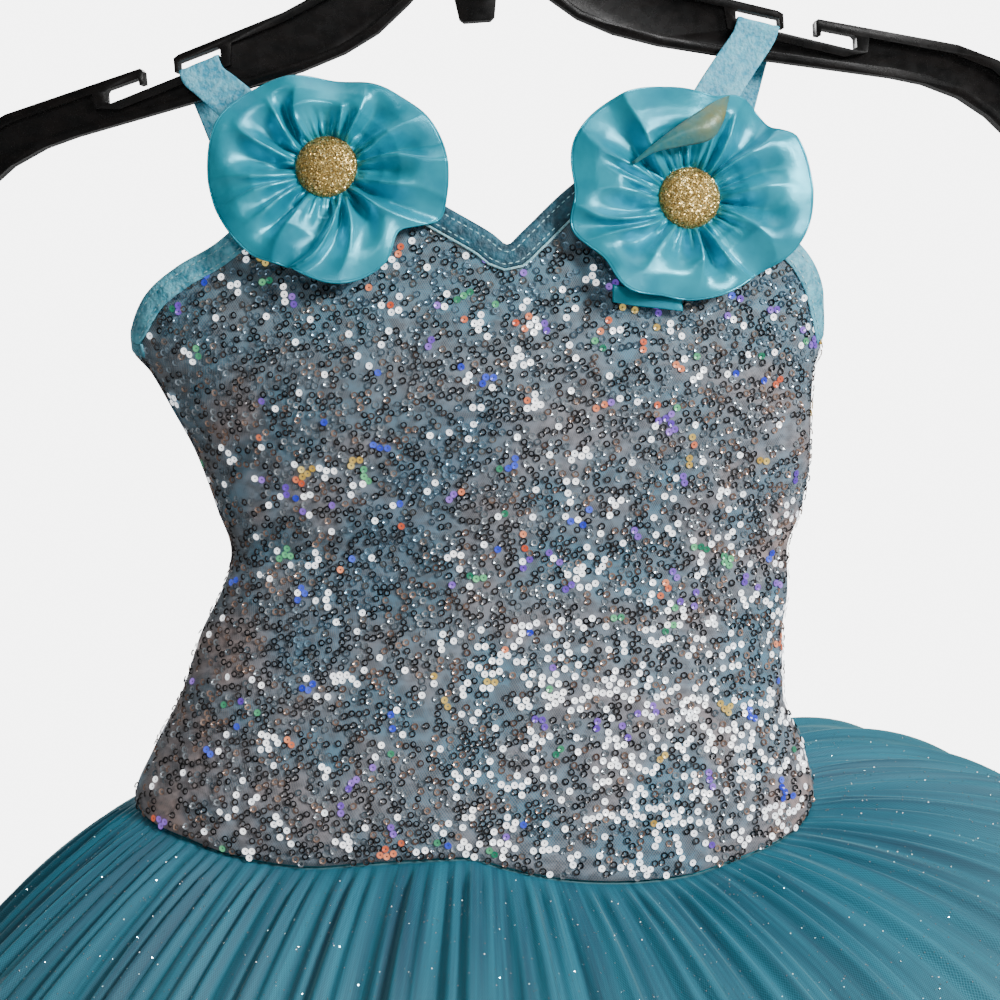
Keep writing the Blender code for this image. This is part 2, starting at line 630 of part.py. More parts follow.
def build_rosettes(materials, collection):
    for rosette in ROSETTES:
        phi = angle_of(rosette.x, rosette.z, False)
        centre = torso_point(phi, rosette.z, rosette.stand)
        turn = Matrix.Rotation(math.radians(rosette.turn_deg), 3, "Z")
        tilt = Matrix.Rotation(math.radians(-rosette.tilt_deg), 3, "X")
        lie = turn @ tilt
        right, up, front = lie @ Vector((1, 0, 0)), lie @ Vector((0, 0, 1)), lie @ Vector((0, -1, 0))
        angles = [math.radians(petal.angle) for petal in rosette.petals]
        radii = [petal.radius for petal in rosette.petals]
        keys = angles + [angles[0] + 2 * math.pi]
        values = radii + [radii[0]]
        columns = rosette.waves * ROSETTE_POINTS_A_WAVE
        phase = math.radians(rosette.phase_deg)
        rows = []
        for share in (None, *ROSETTE_ROWS):
            row = []
            for i in range(columns):
                theta = 2 * math.pi * i / columns
                read = theta if theta >= keys[0] else theta + 2 * math.pi
                edge = smooth_value(keys, values, read)
                radius, off = ROSETTE_HOLE, 0.0
                if share is not None:
                    radius = ROSETTE_FLAT + (edge - ROSETTE_FLAT) * share
                    fold = math.sin(rosette.waves * theta + phase + 0.9 * math.sin(2 * theta + phase))
                    rise = 1 - (1 - min(1, share / 0.45)) ** 2
                    off = ROSETTE_LIFT * rise - 1.6 * max(0, share - 0.6)
                    off += ROSETTE_WAVE * fold * share ** 0.8
                row.append(centre + right * radius * math.cos(theta) + up * radius * math.sin(theta)
                           + front * off)
            rows.append(row)
        cloth_object(
            "rosette_" + rosette.side, rows, materials["satin"], collection, wall=SATIN_WALL, closed=True
        )
        build_button(
            "button_" + rosette.side, centre + front * (SATIN_WALL / 2 + GAP), lie, materials["gold"],
            collection,
        )


def build_button(name, seat, lie, material, collection):
    """A dome spun round its own axis, standing on a short straight rim."""
    bm = bmesh.new()
    profile = [(0.0, 0.0), (BUTTON_RADIUS - 0.8, 0.0), (BUTTON_RADIUS, 0.8), (BUTTON_RADIUS, BUTTON_RIM)]
    for k in range(1, 6):
        angle = math.pi / 2 * k / 5
        height = BUTTON_RIM + (BUTTON_HEIGHT - BUTTON_RIM) * math.sin(angle)
        profile.append((BUTTON_RADIUS * math.cos(angle) if k < 5 else 0.0, height))
    verts = [bm.verts.new((radius * MM, 0, height * MM)) for radius, height in profile]
    edges = [bm.edges.new(pair) for pair in zip(verts, verts[1:])]
    bmesh.ops.spin(
        bm, geom=verts + edges, cent=(0, 0, 0), axis=(0, 0, 1), angle=2 * math.pi, steps=20,
        use_duplicate=False,
    )
    bmesh.ops.remove_doubles(bm, verts=bm.verts, dist=1e-6)
    bmesh.ops.recalc_face_normals(bm, faces=bm.faces)
    stand = lie @ Matrix.Rotation(math.radians(90), 3, "X")
    for vert in bm.verts:
        vert.co = stand @ vert.co + seat * MM
    mesh = bpy.data.meshes.new(name)
    bm.to_mesh(mesh)
    bm.free()
    mesh.materials.append(material)
    mesh.shade_smooth()
    collection.objects.link(bpy.data.objects.new(name, mesh))


def plate_object(name, outline, near, far, material, collection):
    """A flat plate with the given outline in X and Z, from y = near to y = far."""
    curve = bpy.data.curves.new(name, "CURVE")
    curve.dimensions = "2D"
    curve.fill_mode = "BOTH"
    curve.extrude = (far - near) / 2 * MM
    spline = curve.splines.new("POLY")
    spline.points.add(len(outline) - 1)
    for point, (x, z) in zip(spline.points, outline):
        point.co = (x * MM, z * MM, 0, 1)
    spline.use_cyclic_u = True
    shape = bpy.data.objects.new(name + "_outline", curve)
    bpy.context.scene.collection.objects.link(shape)
    bpy.context.view_layer.update()
    mesh = bpy.data.meshes.new_from_object(shape)
    mesh.name = name
    bpy.data.objects.remove(shape, do_unlink=True)
    bm = bmesh.new()
    bm.from_mesh(mesh)
    bmesh.ops.remove_doubles(bm, verts=bm.verts, dist=1e-6)
    upright = Matrix.Rotation(math.radians(90), 4, "X")
    tilt = Matrix.Rotation(math.radians(-HANGER_TILT_DEG), 4, "Y")
    move = Matrix.Translation((0, (near + far) / 2 * MM, 0))
    bmesh.ops.transform(bm, matrix=tilt @ move @ upright, verts=bm.verts)
    bmesh.ops.recalc_face_normals(bm, faces=bm.faces)
    bm.to_mesh(mesh)
    bm.free()
    mesh.materials.clear()
    mesh.materials.append(material)
    obj = bpy.data.objects.new(name, mesh)
    collection.objects.link(obj)
    return obj


def build_hanger(materials, collection, cutters):
    right = [*HANGER_UPPER, *HANGER_NOTCHES, *HANGER_SHOULDER]
    left = [Edge(-x, z) for x, z in reversed(right)]
    half = HANGER_DEPTH / 2
    hanger = plate_object("hanger", right + left, -half, half, materials["plastic"], collection)
    pocket_left = [Edge(-x, z) for x, z in reversed(HANGER_POCKET)]
    for side, outline in (("right", HANGER_POCKET), ("left", pocket_left)):
        for face, near, far in (
            ("front", -half - 1, -half + POCKET_DEPTH), ("back", half - POCKET_DEPTH, half + 1)
        ):
            cutter = plate_object(
                f"pocket_{side}_{face}", outline, near, far, materials["plastic"], cutters
            )
            cutter.hide_render = True
            cutter.display_type = "WIRE"
            cut = hanger.modifiers.new(cutter.name, "BOOLEAN")
            cut.operation = "DIFFERENCE"
            cut.solver = "EXACT"
            cut.object = cutter


def build_hook(materials, collection):
    """A round rod up from the hub, bent into a hook whose inside top is the origin."""
    ring = HOOK_INSIDE + HOOK_WIRE
    path = [(0, HOOK_STEM_FOOT - 1.7), (0, -72), (0.4, -62), (3.5, -52), (9.5, -44.5)]
    for degrees in range(-45, 226, 18):
        angle = math.radians(degrees)
        path.append((ring * math.cos(angle), -HOOK_INSIDE + ring * math.sin(angle)))
    curve = bpy.data.curves.new("hanger_hook", "CURVE")
    curve.dimensions = "3D"
    curve.bevel_depth = HOOK_WIRE * MM
    curve.bevel_resolution = 2
    curve.use_fill_caps = True
    spline = curve.splines.new("POLY")
    spline.points.add(len(path) - 1)
    for point, (x, z) in zip(spline.points, path):
        point.co = (x * MM, 0, z * MM, 1)
    shape = bpy.data.objects.new("hook_path", curve)
    bpy.context.scene.collection.objects.link(shape)
    bpy.context.view_layer.update()
    mesh = bpy.data.meshes.new_from_object(shape)
    mesh.name = "hanger_hook"
    bpy.data.objects.remove(shape, do_unlink=True)
    bm = bmesh.new()
    bm.from_mesh(mesh)
    bmesh.ops.remove_doubles(bm, verts=bm.verts, dist=1e-6)
    tilt = Matrix.Rotation(math.radians(-HANGER_TILT_DEG), 4, "Y")
    bmesh.ops.transform(bm, matrix=tilt, verts=bm.verts)
    bmesh.ops.recalc_face_normals(bm, faces=bm.faces)
    bm.to_mesh(mesh)
    bm.free()
    mesh.materials.clear()
    mesh.materials.append(materials["plastic"])
    mesh.shade_smooth()
    collection.objects.link(bpy.data.objects.new("hanger_hook", mesh))


def main():
    clear_scene()
    collection = make_collection("dance_leotard")
    cutters = make_collection("cutters")
    materials = make_materials()
    front_hip, back_hip, tops = build_bodice(materials, collection)
    build_brief(front_hip, back_hip, materials, collection)
    build_straps(tops, materials, collection)
    build_skirt(front_hip, back_hip, materials, collection)
    build_rosettes(materials, collection)
    build_hanger(materials, collection, cutters)
    build_hook(materials, collection)


main()
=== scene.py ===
"""A child's sequinned dance leotard with a net skirt, hung on a notched hanger: looks, lights and camera.

Lengths in the tables are millimetres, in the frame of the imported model.
"""

import itertools
import math
from collections import namedtuple

import bmesh
import bpy
import numpy as np
from mathutils import Matrix, Vector


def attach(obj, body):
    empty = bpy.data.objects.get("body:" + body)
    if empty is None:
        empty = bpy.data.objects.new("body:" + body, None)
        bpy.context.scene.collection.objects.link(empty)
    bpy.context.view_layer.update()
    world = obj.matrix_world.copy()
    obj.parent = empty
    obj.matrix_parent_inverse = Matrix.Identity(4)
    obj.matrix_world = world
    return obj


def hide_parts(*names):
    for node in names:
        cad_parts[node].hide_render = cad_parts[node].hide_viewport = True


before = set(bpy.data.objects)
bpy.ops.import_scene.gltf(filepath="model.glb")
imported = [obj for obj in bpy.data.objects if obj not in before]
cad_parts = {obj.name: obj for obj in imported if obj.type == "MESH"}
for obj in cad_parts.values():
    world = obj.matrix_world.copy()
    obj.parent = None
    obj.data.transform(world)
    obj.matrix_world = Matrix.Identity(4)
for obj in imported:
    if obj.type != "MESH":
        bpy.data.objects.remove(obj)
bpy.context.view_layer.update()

MM = 0.001
dice = np.random.default_rng(7)


def records(kind, *rows):
    return [kind(*row) for row in rows]


# The torso, as sections from the shoulders down to the crotch, the same as the solids'
Section = namedtuple("Section", "z left right front back")
SECTIONS = records(
    Section, (-170, -131, 149, 21, 10), (-200, -131, 149.5, 27, 15), (-230, -131.5, 149.8, 33, 21),
    (-258, -131.5, 149.8, 36, 25), (-268, -124, 147, 36.5, 26), (-284, -115, 146.3, 36, 26),
    (-301, -106, 146.3, 34, 25), (-326, -97, 142.5, 32, 22), (-342, -92, 137.3, 31, 21),
    (-359, -97, 137.8, 32, 22), (-376, -105.5, 135.8, 34, 24), (-402, -114.4, 136.5, 38, 29),
    (-427, -127, 146, 43, 35), (-445, -134.5, 150, 46, 39), (-470, -136, 151, 47, 41),
    (-500, -128, 144, 43, 40), (-530, -110, 128, 34, 33), (-560, -85, 105, 22, 22), (-584, -62, 82, 11, 11),
    (-596, -50, 70, 7, 7),
)
# The panels' edges, as x and z
FRONT_ARMHOLE_LEFT = (
    (-131.5, -259), (-130.8, -250.5), (-123.5, -236.8), (-110.5, -226.3), (-94, -216.8), (-80, -203.5),
    (-73, -189),
)
FRONT_NECK = (
    (-59, -177), (-43, -181), (-26, -189), (-8, -200), (13, -212), (21.2, -217.6), (28.2, -212), (45, -196),
    (62, -184), (83, -176),
)
FRONT_ARMHOLE_RIGHT = (
    (101, -184), (113, -196), (127, -207.5), (141, -220), (147.8, -232), (149.5, -243), (149.8, -251),
)
FRONT_HIP = (
    (-134.8, -447), (-126, -453), (-110, -457.5), (-92, -462), (-74, -464.5), (-56, -465), (-38, -463),
    (-15, -461), (7.6, -460), (17, -463), (38, -468), (57, -470.5), (76, -471), (96, -469.5), (110, -466),
    (130, -460.5), (144, -454), (150, -445),
)
BACK_ARMHOLE_RIGHT = (
    (149.8, -251), (147, -245), (135, -240), (120, -236), (107, -232),
)
BACK_NECK = (
    (89, -228), (81, -250), (62, -276), (36, -293), (12, -298), (-14, -294), (-38, -280), (-54, -258),
    (-61, -233.5),
)
BACK_ARMHOLE_LEFT = (
    (-78.5, -239), (-92, -243.5), (-110, -248.5), (-127, -253.5), (-131.5, -259),
)
BACK_HIP = (
    (150, -445), (139, -438.5), (120, -433), (70, -427), (8, -426), (-55, -431), (-105, -439), (-134.8, -447),
)
LegEdge = namedtuple("LegEdge", "z front_left front_right back_left back_right")
LEG_EDGES = records(
    LegEdge, (-484, -135, 150.8, -135, 150.8), (-502, -110, 126, -120, 136), (-522, -86, 102, -106, 120),
    (-548, -58, 74, -80, 95), (-574, -34, 50, -50, 65), (-596, -16, 32, -18, 34),
)
CROTCH = (-14, 30, -603)

# The ends of the long crease, x and z: the cloth and its sequins are bluer and darker along it, a painted
# shade
LONG_CREASE = ((12, -282), (-62, -382))
# Creases of the bodice: the solid's own soft ones, then the small pulls that only show up close
Crease = namedtuple("Crease", "x z slant_deg length width depth")
CREASES = records(
    Crease, (-40, -372, 38, 95, 20, -3.2), (-68, -342, 12, 60, 12, -2.6), (10, -330, 55, 90, 34, 2.6),
    (-70, -405, 30, 70, 22, 2.4), (70, -400, -8, 90, 40, 2.2), (60, -285, -24, 70, 22, -1.8),
    (-60, -290, 22, 60, 20, 2.0), (-20, -262, 68, 70, 9, -0.9), (40, -262, -70, 60, 9, -0.8),
    (108, -300, -64, 80, 12, -1.1), (-88, -300, 60, 60, 10, -1.1), (-58, -430, 24, 90, 12, -1.3),
    (112, -418, -38, 60, 10, -1.2), (20, -438, 82, 50, 9, -0.9), (66, -345, 18, 110, 12, -1.0),
    (-20, -318, -24, 70, 10, -0.8), (84, -446, 76, 44, 8, 0.8), (-96, -448, 80, 40, 8, 0.8),
)
BACK_CREASES = records(
    Crease, (8, -352, 4, 190, 14, -2.0), (-60, -372, 24, 80, 12, -1.6), (84, -378, -28, 80, 12, -1.6),
    (-30, -400, -20, 90, 16, 1.4), (60, -330, 16, 90, 14, 1.5), (10, -330, 86, 60, 12, -0.8),
)

SEAM_GAP = 0.3  # half of the room between pieces sewn edge to edge
MIDDLE_X, CHEST_X = 8, 18  # the middles of the skirt and of the chest, to the right of the hook
BODICE_WALL, BRIEF_WALL, BINDING_WALL = 1.2, 1.2, 0.6
STRAP_WALL, NET_WALL, SATIN_WALL = 1.3, 0.3, 0.7
STITCH_LENGTH, STITCH_PITCH, STITCH_WIDTH = 1.9, 2.7, 0.42

# A binding's section: how far in from the edge each row lies and how high, then the fold over the edge, as
# how far out of the skin and how far past the edge
BINDING_LEG = (
    (8.5, 0.75), (8.1, 1.15), (7.0, 1.05), (5.6, 1.4), (4.2, 1.5), (2.9, 1.4), (1.9, 1.1), (0.9, 1.35),
    (0.1, 1.3),
)
BINDING_FOLD = ((0.9, 0.8), (0.1, 1.25), (-1.2, 1.25), (-2.1, 0.8))

# Straps: the middle's x, y and z, then the way across; and the section, as the share across and the height
STRAP_WIDTH = 16.5
STRAP_SEAT = 0.4
STRAP_PROFILE = (
    (-1, 0.0), (-0.97, 0.16), (-0.86, 0.28), (-0.7, 0.04), (-0.35, 0.1), (0, 0.16), (0.35, 0.1), (0.7, 0.04),
    (0.86, 0.28), (0.97, 0.16), (1.0, 0.0),
)
RIGHT_STRAP = (
    (97, -17.6, -170, 0.9, -0.2, -0.38), (106, -12.5, -155, 0.93, -0.1, -0.35),
    (114, -8.2, -143, 0.95, 0, -0.3), (119.4, -6.9, -135, 0.97, 0, -0.24),
    (121.3, -6.8, -130.3, 0.9736, 0, -0.2284), (121.7, -6.4, -129.1, 0.9736, 0, -0.2284),
    (121.9, -5.3, -128.6, 0.9736, 0, -0.2284), (121.9, 0, -128.6, 0.9736, 0, -0.2284),
    (121.9, 5.3, -128.6, 0.9736, 0, -0.2284), (121.7, 6.4, -129.1, 0.9736, 0, -0.2284),
    (121.3, 6.8, -130.3, 0.9736, 0, -0.2284), (120.4, 6.9, -135, 0.975, 0, -0.22),
    (117, 7.6, -148, 0.98, 0.02, -0.2), (110, 10.5, -178, 0.98, 0.08, -0.2),
    (103, 14.3, -208, 0.97, 0.14, -0.2),
)
LEFT_STRAP = (
    (-72.5, -18.6, -175, 0.77, -0.15, 0.6), (-84, -13, -163.5, 0.82, -0.08, 0.55),
    (-95, -8, -154, 0.89, 0, 0.44), (-100, -6.9, -150, 0.92, 0, 0.39),
    (-101.8, -6.8, -146.6, 0.931, 0, 0.365), (-102.2, -6.4, -145.3, 0.931, 0, 0.365),
    (-102.3, -5.3, -144.8, 0.931, 0, 0.365), (-102.3, 0, -144.8, 0.931, 0, 0.365),
    (-102.3, 5.3, -144.8, 0.931, 0, 0.365), (-102.2, 6.4, -145.3, 0.931, 0, 0.365),
    (-101.8, 6.8, -146.6, 0.931, 0, 0.365), (-100.8, 6.9, -151, 0.935, 0, 0.355),
    (-96, 7.8, -163, 0.945, 0, 0.33), (-87, 10.5, -187, 0.95, -0.03, 0.31),
    (-77, 14.3, -213, 0.95, -0.08, 0.3),
)

SEQUIN_RADIUS, SEQUIN_SPACING, SEQUIN_LIFT = 1.42, 2.45, 0.42
SEQUIN_SIDES = 10
SEQUIN_CHAINS, SEQUINS_A_CHAIN, SEQUIN_STEP = 1900, 13, 2.95
SEQUIN_LOW, SEQUIN_HIGH = -472, -176
# Room left along the panel's edges. Beside the bindings it is more, and at the sides it is an angle
TOP_ROOM, BINDING_ROOM, SIDE_ROOM, HIP_ROOM = 2.5, 6.0, 0.02, 0.2
WHITE_CLUMPS, RAINBOW_CLUMPS = 290, 210
# The two ends of each kind's colour on screen, painted reflections that stand in for what each silver sequin
# reflects. White and the kinds after it are painted glints, which glow
SEQUIN_COLOURS = {
    "dark": ((12, 13, 16), (60, 56, 56)),
    "clear": ((84, 98, 108), (176, 184, 190)),
    "brown": ((88, 68, 60), (182, 152, 136)),
    "white": ((232, 238, 244), (255, 255, 255)),
    "blue": ((26, 34, 150), (64, 84, 196)),
    "violet": ((74, 44, 140), (128, 92, 180)),
    "green": ((10, 84, 64), (84, 160, 110)),
    "fire": ((160, 60, 36), (200, 120, 84)),
    "gold": ((134, 104, 40), (196, 172, 96)),
}

# Net skirt: how steeply it leaves the hip and ends at the hem, by direction, in degrees
Flare = namedtuple("Flare", "around start end")
FLARES = records(
    Flare, (0, 26, 62), (45, 12, 58), (90, -8, 50), (135, -6, 49), (180, 2, 56), (225, 18, 64), (270, 36, 70),
    (315, 34, 64),
)
HEM_HALF_WIDTH, HEM_HALF_DEPTH = 310.0, 225.0
GATHERS = 40
NET_GLINTS = 9000
GLINT_COLOURS = ((255, 255, 255), (190, 236, 240), (220, 240, 236))
BRIEF_COLUMNS = 91
BRIEF_TUCK = 4  # how far the brief reaches up inside the bodice
BRIEF_SKIN = -BODICE_WALL - 1.1  # the brief's outer skin lies this far out of the torso's
NetLayer = namedtuple("NetLayer", "name length drop steeper_deg wave_mm broad_mm fine_mm columns rows")
NET_LAYERS = records(
    NetLayer, ("outer", 205, 1.2, 0, 4.2, 6, 1.25, 960, 40), ("middle", 196, 3.4, 12, 4.5, 5, 0.6, 480, 28),
    ("inner", 187, 5.6, 24, 4.5, 4, 0.4, 480, 28),
)

# Rosettes: the outer edge's direction and radius, and the ridges that run out from the button.
# A ridge starts at one angle beside the button and ends at another. The pocket between it and the next one
# is depth mm deep, lowest a share of the way across, under a sharp (0) or round (1) ridge, and it closes
# where it reaches that share of the way out; one that reaches 1 runs through the edge
LEFT_PETALS = (
    (0, 48.5), (20, 45), (46, 38.5), (85, 34), (118, 38), (142, 42), (163, 45.5), (191, 47), (210, 46),
    (230, 45.5), (250, 43), (280, 48), (301, 46), (318, 39.5), (338, 49.5),
)
RIGHT_PETALS = (
    (3, 48.5), (28, 48.5), (40, 43.5), (60, 45.5), (78, 40), (100, 43), (122, 47.5), (151, 51), (178, 46),
    (194, 49), (215, 43), (233, 46), (255, 41), (284, 40.5), (308, 40), (332, 45.5),
)
Ridge = namedtuple("Ridge", "inner outer depth lowest round reach")
LEFT_RIDGES = records(
    Ridge, (16, 30, 7.5, 0.7, 0.5, 0.95), (50, 62, 4.5, 0.5, 0.2, 0.6), (68, 75, 5.0, 0.3, 0.4, 0.55),
    (132, 110, 9.0, 0.5, 0.2, 0.85), (150, 127, 8.0, 0.55, 0.1, 0.8), (172, 153, 9.5, 0.4, 0.5, 0.88),
    (196, 188, 3.5, 0.5, 0.0, 1.0), (207, 200, 4.5, 0.6, 0.3, 0.8), (217, 220, 7.5, 0.5, 0.7, 0.88),
    (243, 241, 8.5, 0.72, 0.6, 1.0), (299, 254, 6.0, 0.25, 0.0, 1.0), (307, 281, 8.5, 0.6, 0.1, 0.85),
    (316, 327, 7.0, 0.4, 0.1, 1.0), (338, 346, 5.5, 0.5, 0.1, 0.7), (8, 3, 8.5, 0.35, 0.3, 1.0),
)
RIGHT_RIDGES = records(
    Ridge, (2, 8, 6.5, 0.45, 0.5, 0.85), (41, 34, 7.5, 0.3, 0.0, 1.0), (51, 60, 6.0, 0.5, 0.2, 0.8),
    (66, 71, 5.0, 0.4, 0.2, 0.6), (141, 121, 8.5, 0.4, 0.0, 1.0), (156, 150, 4.5, 0.5, 0.2, 0.7),
    (168, 164, 5.5, 0.5, 0.1, 0.5), (180, 173, 7.5, 0.6, 0.4, 0.85), (212, 187, 5.0, 0.4, 0.1, 1.0),
    (221, 202, 8.5, 0.4, 0.4, 0.88), (241, 232, 6.5, 0.5, 0.7, 0.7), (279, 275, 8.5, 0.55, 0.2, 0.95),
    (292, 304, 5.0, 0.2, 0.0, 1.0), (343, 322, 7.5, 0.5, 0.7, 0.85),
)
Rosette = namedtuple("Rosette", "side x z stand tilt_deg turn_deg petals ridges pinch_phase")
ROSETTES = records(
    Rosette, ("left", -49.6, -187, 2.4, 12, -4, LEFT_PETALS, LEFT_RIDGES, 0.4),
    ("right", 92.6, -199, 2.2, 10, 7, RIGHT_PETALS, RIGHT_RIDGES, 2.1),
)
ROSETTE_COLUMNS = 420
ROSETTE_HOLE, ROSETTE_FLAT = 6.0, 12.0
RUFFLE_AROUND, RUFFLE_WIDTH = 420, 36  # the map of the satin
ROSETTE_CRESTS = ((0, 2.2), (0.12, 6.6), (0.3, 10.4), (0.5, 12.0), (0.75, 10.6), (1.0, 8.0))
BUTTON_RADIUS, BUTTON_HEIGHT, BUTTON_RIM = 12.2, 6.5, 1.8
BUTTON_SIDES, DOME_ROWS, BUTTON_ROUNDING = 64, 14, 0.8
BUTTON_SEAT = 0.5 + SEAM_GAP
BUTTON_FLAKES = 2400
GOLDS = ((196, 164, 92), (222, 196, 126), (158, 126, 62), (250, 234, 180))
GOLD_SHARES = (0.42, 0.28, 0.2, 0.1)

# Loose corners of the right rosette's ruffle, each between two lines: mm right, up and out from its middle
TURNBACK = (
    ((-24, 11.5, 11.5), (-16, 15.8, 13.5), (-5, 18, 15.5), (6, 20.5, 16.2), (11, 27, 15.5), (14.5, 37, 12.5)),
    ((-24.5, 12.2, 12), (-17, 18, 14.5), (-7, 25.5, 16), (2, 31.5, 16), (9, 36, 14.5), (15, 38.8, 12)),
)
TAIL = (
    ((-31.5, -34, 1.6), (-25, -35.6, 2.6), (-15, -37.4, 3.2), (-4, -40.5, 2.2)),
    ((-31.5, -41, 1.2), (-24, -42.4, 1.6), (-14, -43.6, 1.9), (-3.5, -44.8, 1.4)),
)
FLAP_COLUMNS, FLAP_ROWS = 33, 13
FLAP_LENGTH, FLAP_WIDTH = 48, 14


def srgb(red, green, blue):
    """A colour measured on screen, 0 to 255, as the renderer counts it."""
    shares = [c / 255 for c in (red, green, blue)]
    return tuple(c / 12.92 if c < 0.04045 else ((c + 0.055) / 1.055) ** 2.4 for c in shares) + (1.0,)


def knot_slope(keys, values, i):
    """The slope at a key that keeps the curve from overshooting."""
    if i == 0 or i == len(keys) - 1:
        j = max(1, i)
        return (values[j] - values[j - 1]) / (keys[j] - keys[j - 1])
    before = (values[i] - values[i - 1]) / (keys[i] - keys[i - 1])
    after = (values[i + 1] - values[i]) / (keys[i + 1] - keys[i])
    if before * after <= 0:
        return 0.0
    return 2 * before * after / (before + after)


def smooth_value(keys, values, at):
    """Reads a table of rising keys as one smooth curve."""
    at = max(keys[0], min(keys[-1], at))
    i = max(0, min(len(keys) - 2, sum(key <= at for key in keys) - 1))
    width = keys[i + 1] - keys[i]
    t = (at - keys[i]) / width
    t2, t3 = t * t, t * t * t
    return (
        values[i] * (2 * t3 - 3 * t2 + 1) + values[i + 1] * (3 * t2 - 2 * t3)
        + width * knot_slope(keys, values, i) * (t3 - 2 * t2 + t)
        + width * knot_slope(keys, values, i + 1) * (t3 - t2)
    )


def smooth_table(keys, values, count):
    """The same curve at count even steps, for quick reading with np.interp."""
    at = np.linspace(keys[0], keys[-1], count)
    return at, np.array([smooth_value(keys, values, x) for x in at])


def catmull(points, per_span):
    """A smooth line through every point."""
    ends = [points[0], *points, points[-1]]
    line = []
    for i in range(1, len(ends) - 2):
        for k in range(per_span):
            t = k / per_span
            line.append(tuple(
                0.5 * (2 * b + (c - a) * t + (2 * a - 5 * b + 4 * c - d) * t * t
                       + (3 * b - a - 3 * c + d) * t ** 3)
                for a, b, c, d in zip(*ends[i - 1 : i + 3])
            ))
    line.append(tuple(points[-1]))
    return line


def unit(vectors):
    return vectors / np.linalg.norm(vectors, axis=-1, keepdims=True)


def smooth_step(t):
    t = np.clip(t, 0, 1)
    return t * t * (3 - 2 * t)


def walked(line):
    """How far along a line each of its points lies."""
    return np.concatenate([[0], np.linalg.norm(np.diff(line, axis=0), axis=1).cumsum()])


def line_length(line):
    return float(np.linalg.norm(np.diff(line, axis=0), axis=1).sum())


def resample(line, count):
    """count points evenly spaced along a line of points."""
    line = np.array(line, float)
    along = walked(line)
    at = np.linspace(0, along[-1], count)
    return np.stack([np.interp(at, along, column) for column in line.T], -1)


LEVELS = [row.z for row in reversed(SECTIONS)]
TORSO = [
    smooth_table(LEVELS, [getattr(row, name) for row in reversed(SECTIONS)], 900)
    for name in Section._fields[1:]
]


def section_at(z):
    return [np.interp(z, at, values) for at, values in TORSO]


def crease_at(x, z, creases):
    """How far the creases lift the cloth at x, z."""
    total = 0.0
    for crease in creases:
        slant = math.radians(crease.slant_deg)
        dx, dz = x - crease.x, z - crease.z
        along = (dx * math.cos(slant) + dz * math.sin(slant)) / (crease.length / 2)
        across = (dz * math.cos(slant) - dx * math.sin(slant)) / (crease.width / 2)
        total = total + crease.depth * np.exp(-along * along - across * across)
    return total


def bare_points(phi, z):
    """Points of the torso's skin without its creases."""
    left, right, front, back = section_at(z)
    x = (left + right) / 2 + (right - left) / 2 * np.sin(phi)
    depth = np.where(np.cos(phi) > 0, front, back)
    return np.stack([x, -depth * np.cos(phi), z + 0 * phi], -1)


def torso_points(phi, z, out=0.0):
    """Points of the torso and the way out of its skin: phi is 0 in front, 90 degrees right, 180 behind."""
    phi, z = np.asarray(phi, float), np.asarray(z, float)
    base = bare_points(phi, z)
    round_it = bare_points(phi + 0.004, z) - bare_points(phi - 0.004, z)
    up = bare_points(phi, np.minimum(z + 0.5, LEVELS[-1])) - bare_points(phi, np.maximum(z - 0.5, LEVELS[0]))
    normal = unit(np.cross(round_it, up))
    face = np.clip(np.cos(phi) * 2, -1, 1)
    swell = crease_at(base[..., 0], z, CREASES) * np.maximum(face, 0)
    swell = swell + crease_at(base[..., 0], z, BACK_CREASES) * np.maximum(-face, 0)
    return base + normal * (out + swell)[..., None], normal


def angle_of(x, z, on_back):
    """The direction of a point of the front or the back, from its x and z."""
    left, right, _, _ = section_at(z)
    share = (x - (left + right) / 2) / ((right - left) / 2)
    phi = np.arcsin(np.clip(share, -1, 1))
    return np.pi - phi if on_back else phi


def edge_line(table, count, on_back=False):
    """count (phi, z) pairs along an edge table, evenly spaced."""
    x, z = np.array(catmull(table, 8)).T
    phi = angle_of(x, z, on_back)
    line = resample(np.stack([x, z, 100 * phi], -1), count)
    return np.stack([line[:, 2] / 100, line[:, 1]], -1)


def skin_slopes(phi, z):
    """How a point of the skin moves with phi and with z."""
    by_phi = (bare_points(phi + 0.01, z) - bare_points(phi - 0.01, z)) / 0.02
    by_z = bare_points(phi, z + 0.5) - bare_points(phi, z - 0.5)
    return by_phi, by_z


def moved_in(line, reach):
    """A line of (phi, z) pairs moved reach mm over the skin, to the right of the way it runs."""
    phi, z = line[:, 0], line[:, 1]
    points = bare_points(phi, z)
    along = np.gradient(points, axis=0)
    by_phi, by_z = skin_slopes(phi, z)
    across = np.cross(along, np.cross(by_phi, by_z))
    across *= reach / np.linalg.norm(across, axis=-1, keepdims=True)
    pp, pz, zz = (by_phi * by_phi).sum(-1), (by_phi * by_z).sum(-1), (by_z * by_z).sum(-1)
    rp, rz = (across * by_phi).sum(-1), (across * by_z).sum(-1)
    det = pp * zz - pz * pz
    return np.stack([phi + (rp * zz - rz * pz) / det, z + (rz * pp - rp * pz) / det], -1)


def feed(tree, socket, value):
    """Links a socket to another, or sets its value."""
    if isinstance(value, bpy.types.NodeSocket):
        tree.links.new(value, socket)
    else:
        socket.default_value = value


def node(tree, kind, inputs=None, **settings):
    made = tree.nodes.new(kind)
    for name, value in settings.items():
        setattr(made, name, value)
    for name, value in (inputs or {}).items():
        feed(tree, made.inputs[name], value)
    return made


def maths(tree, operation, *values):
    made = node(tree, "ShaderNodeMath", dict(enumerate(values)), operation=operation)
    return made.outputs[0]


def plus(tree, a, b):
    return maths(tree, "ADD", a, b)


def minus(tree, a, b):
    return maths(tree, "SUBTRACT", a, b)


def times(tree, a, b):
    return maths(tree, "MULTIPLY", a, b)


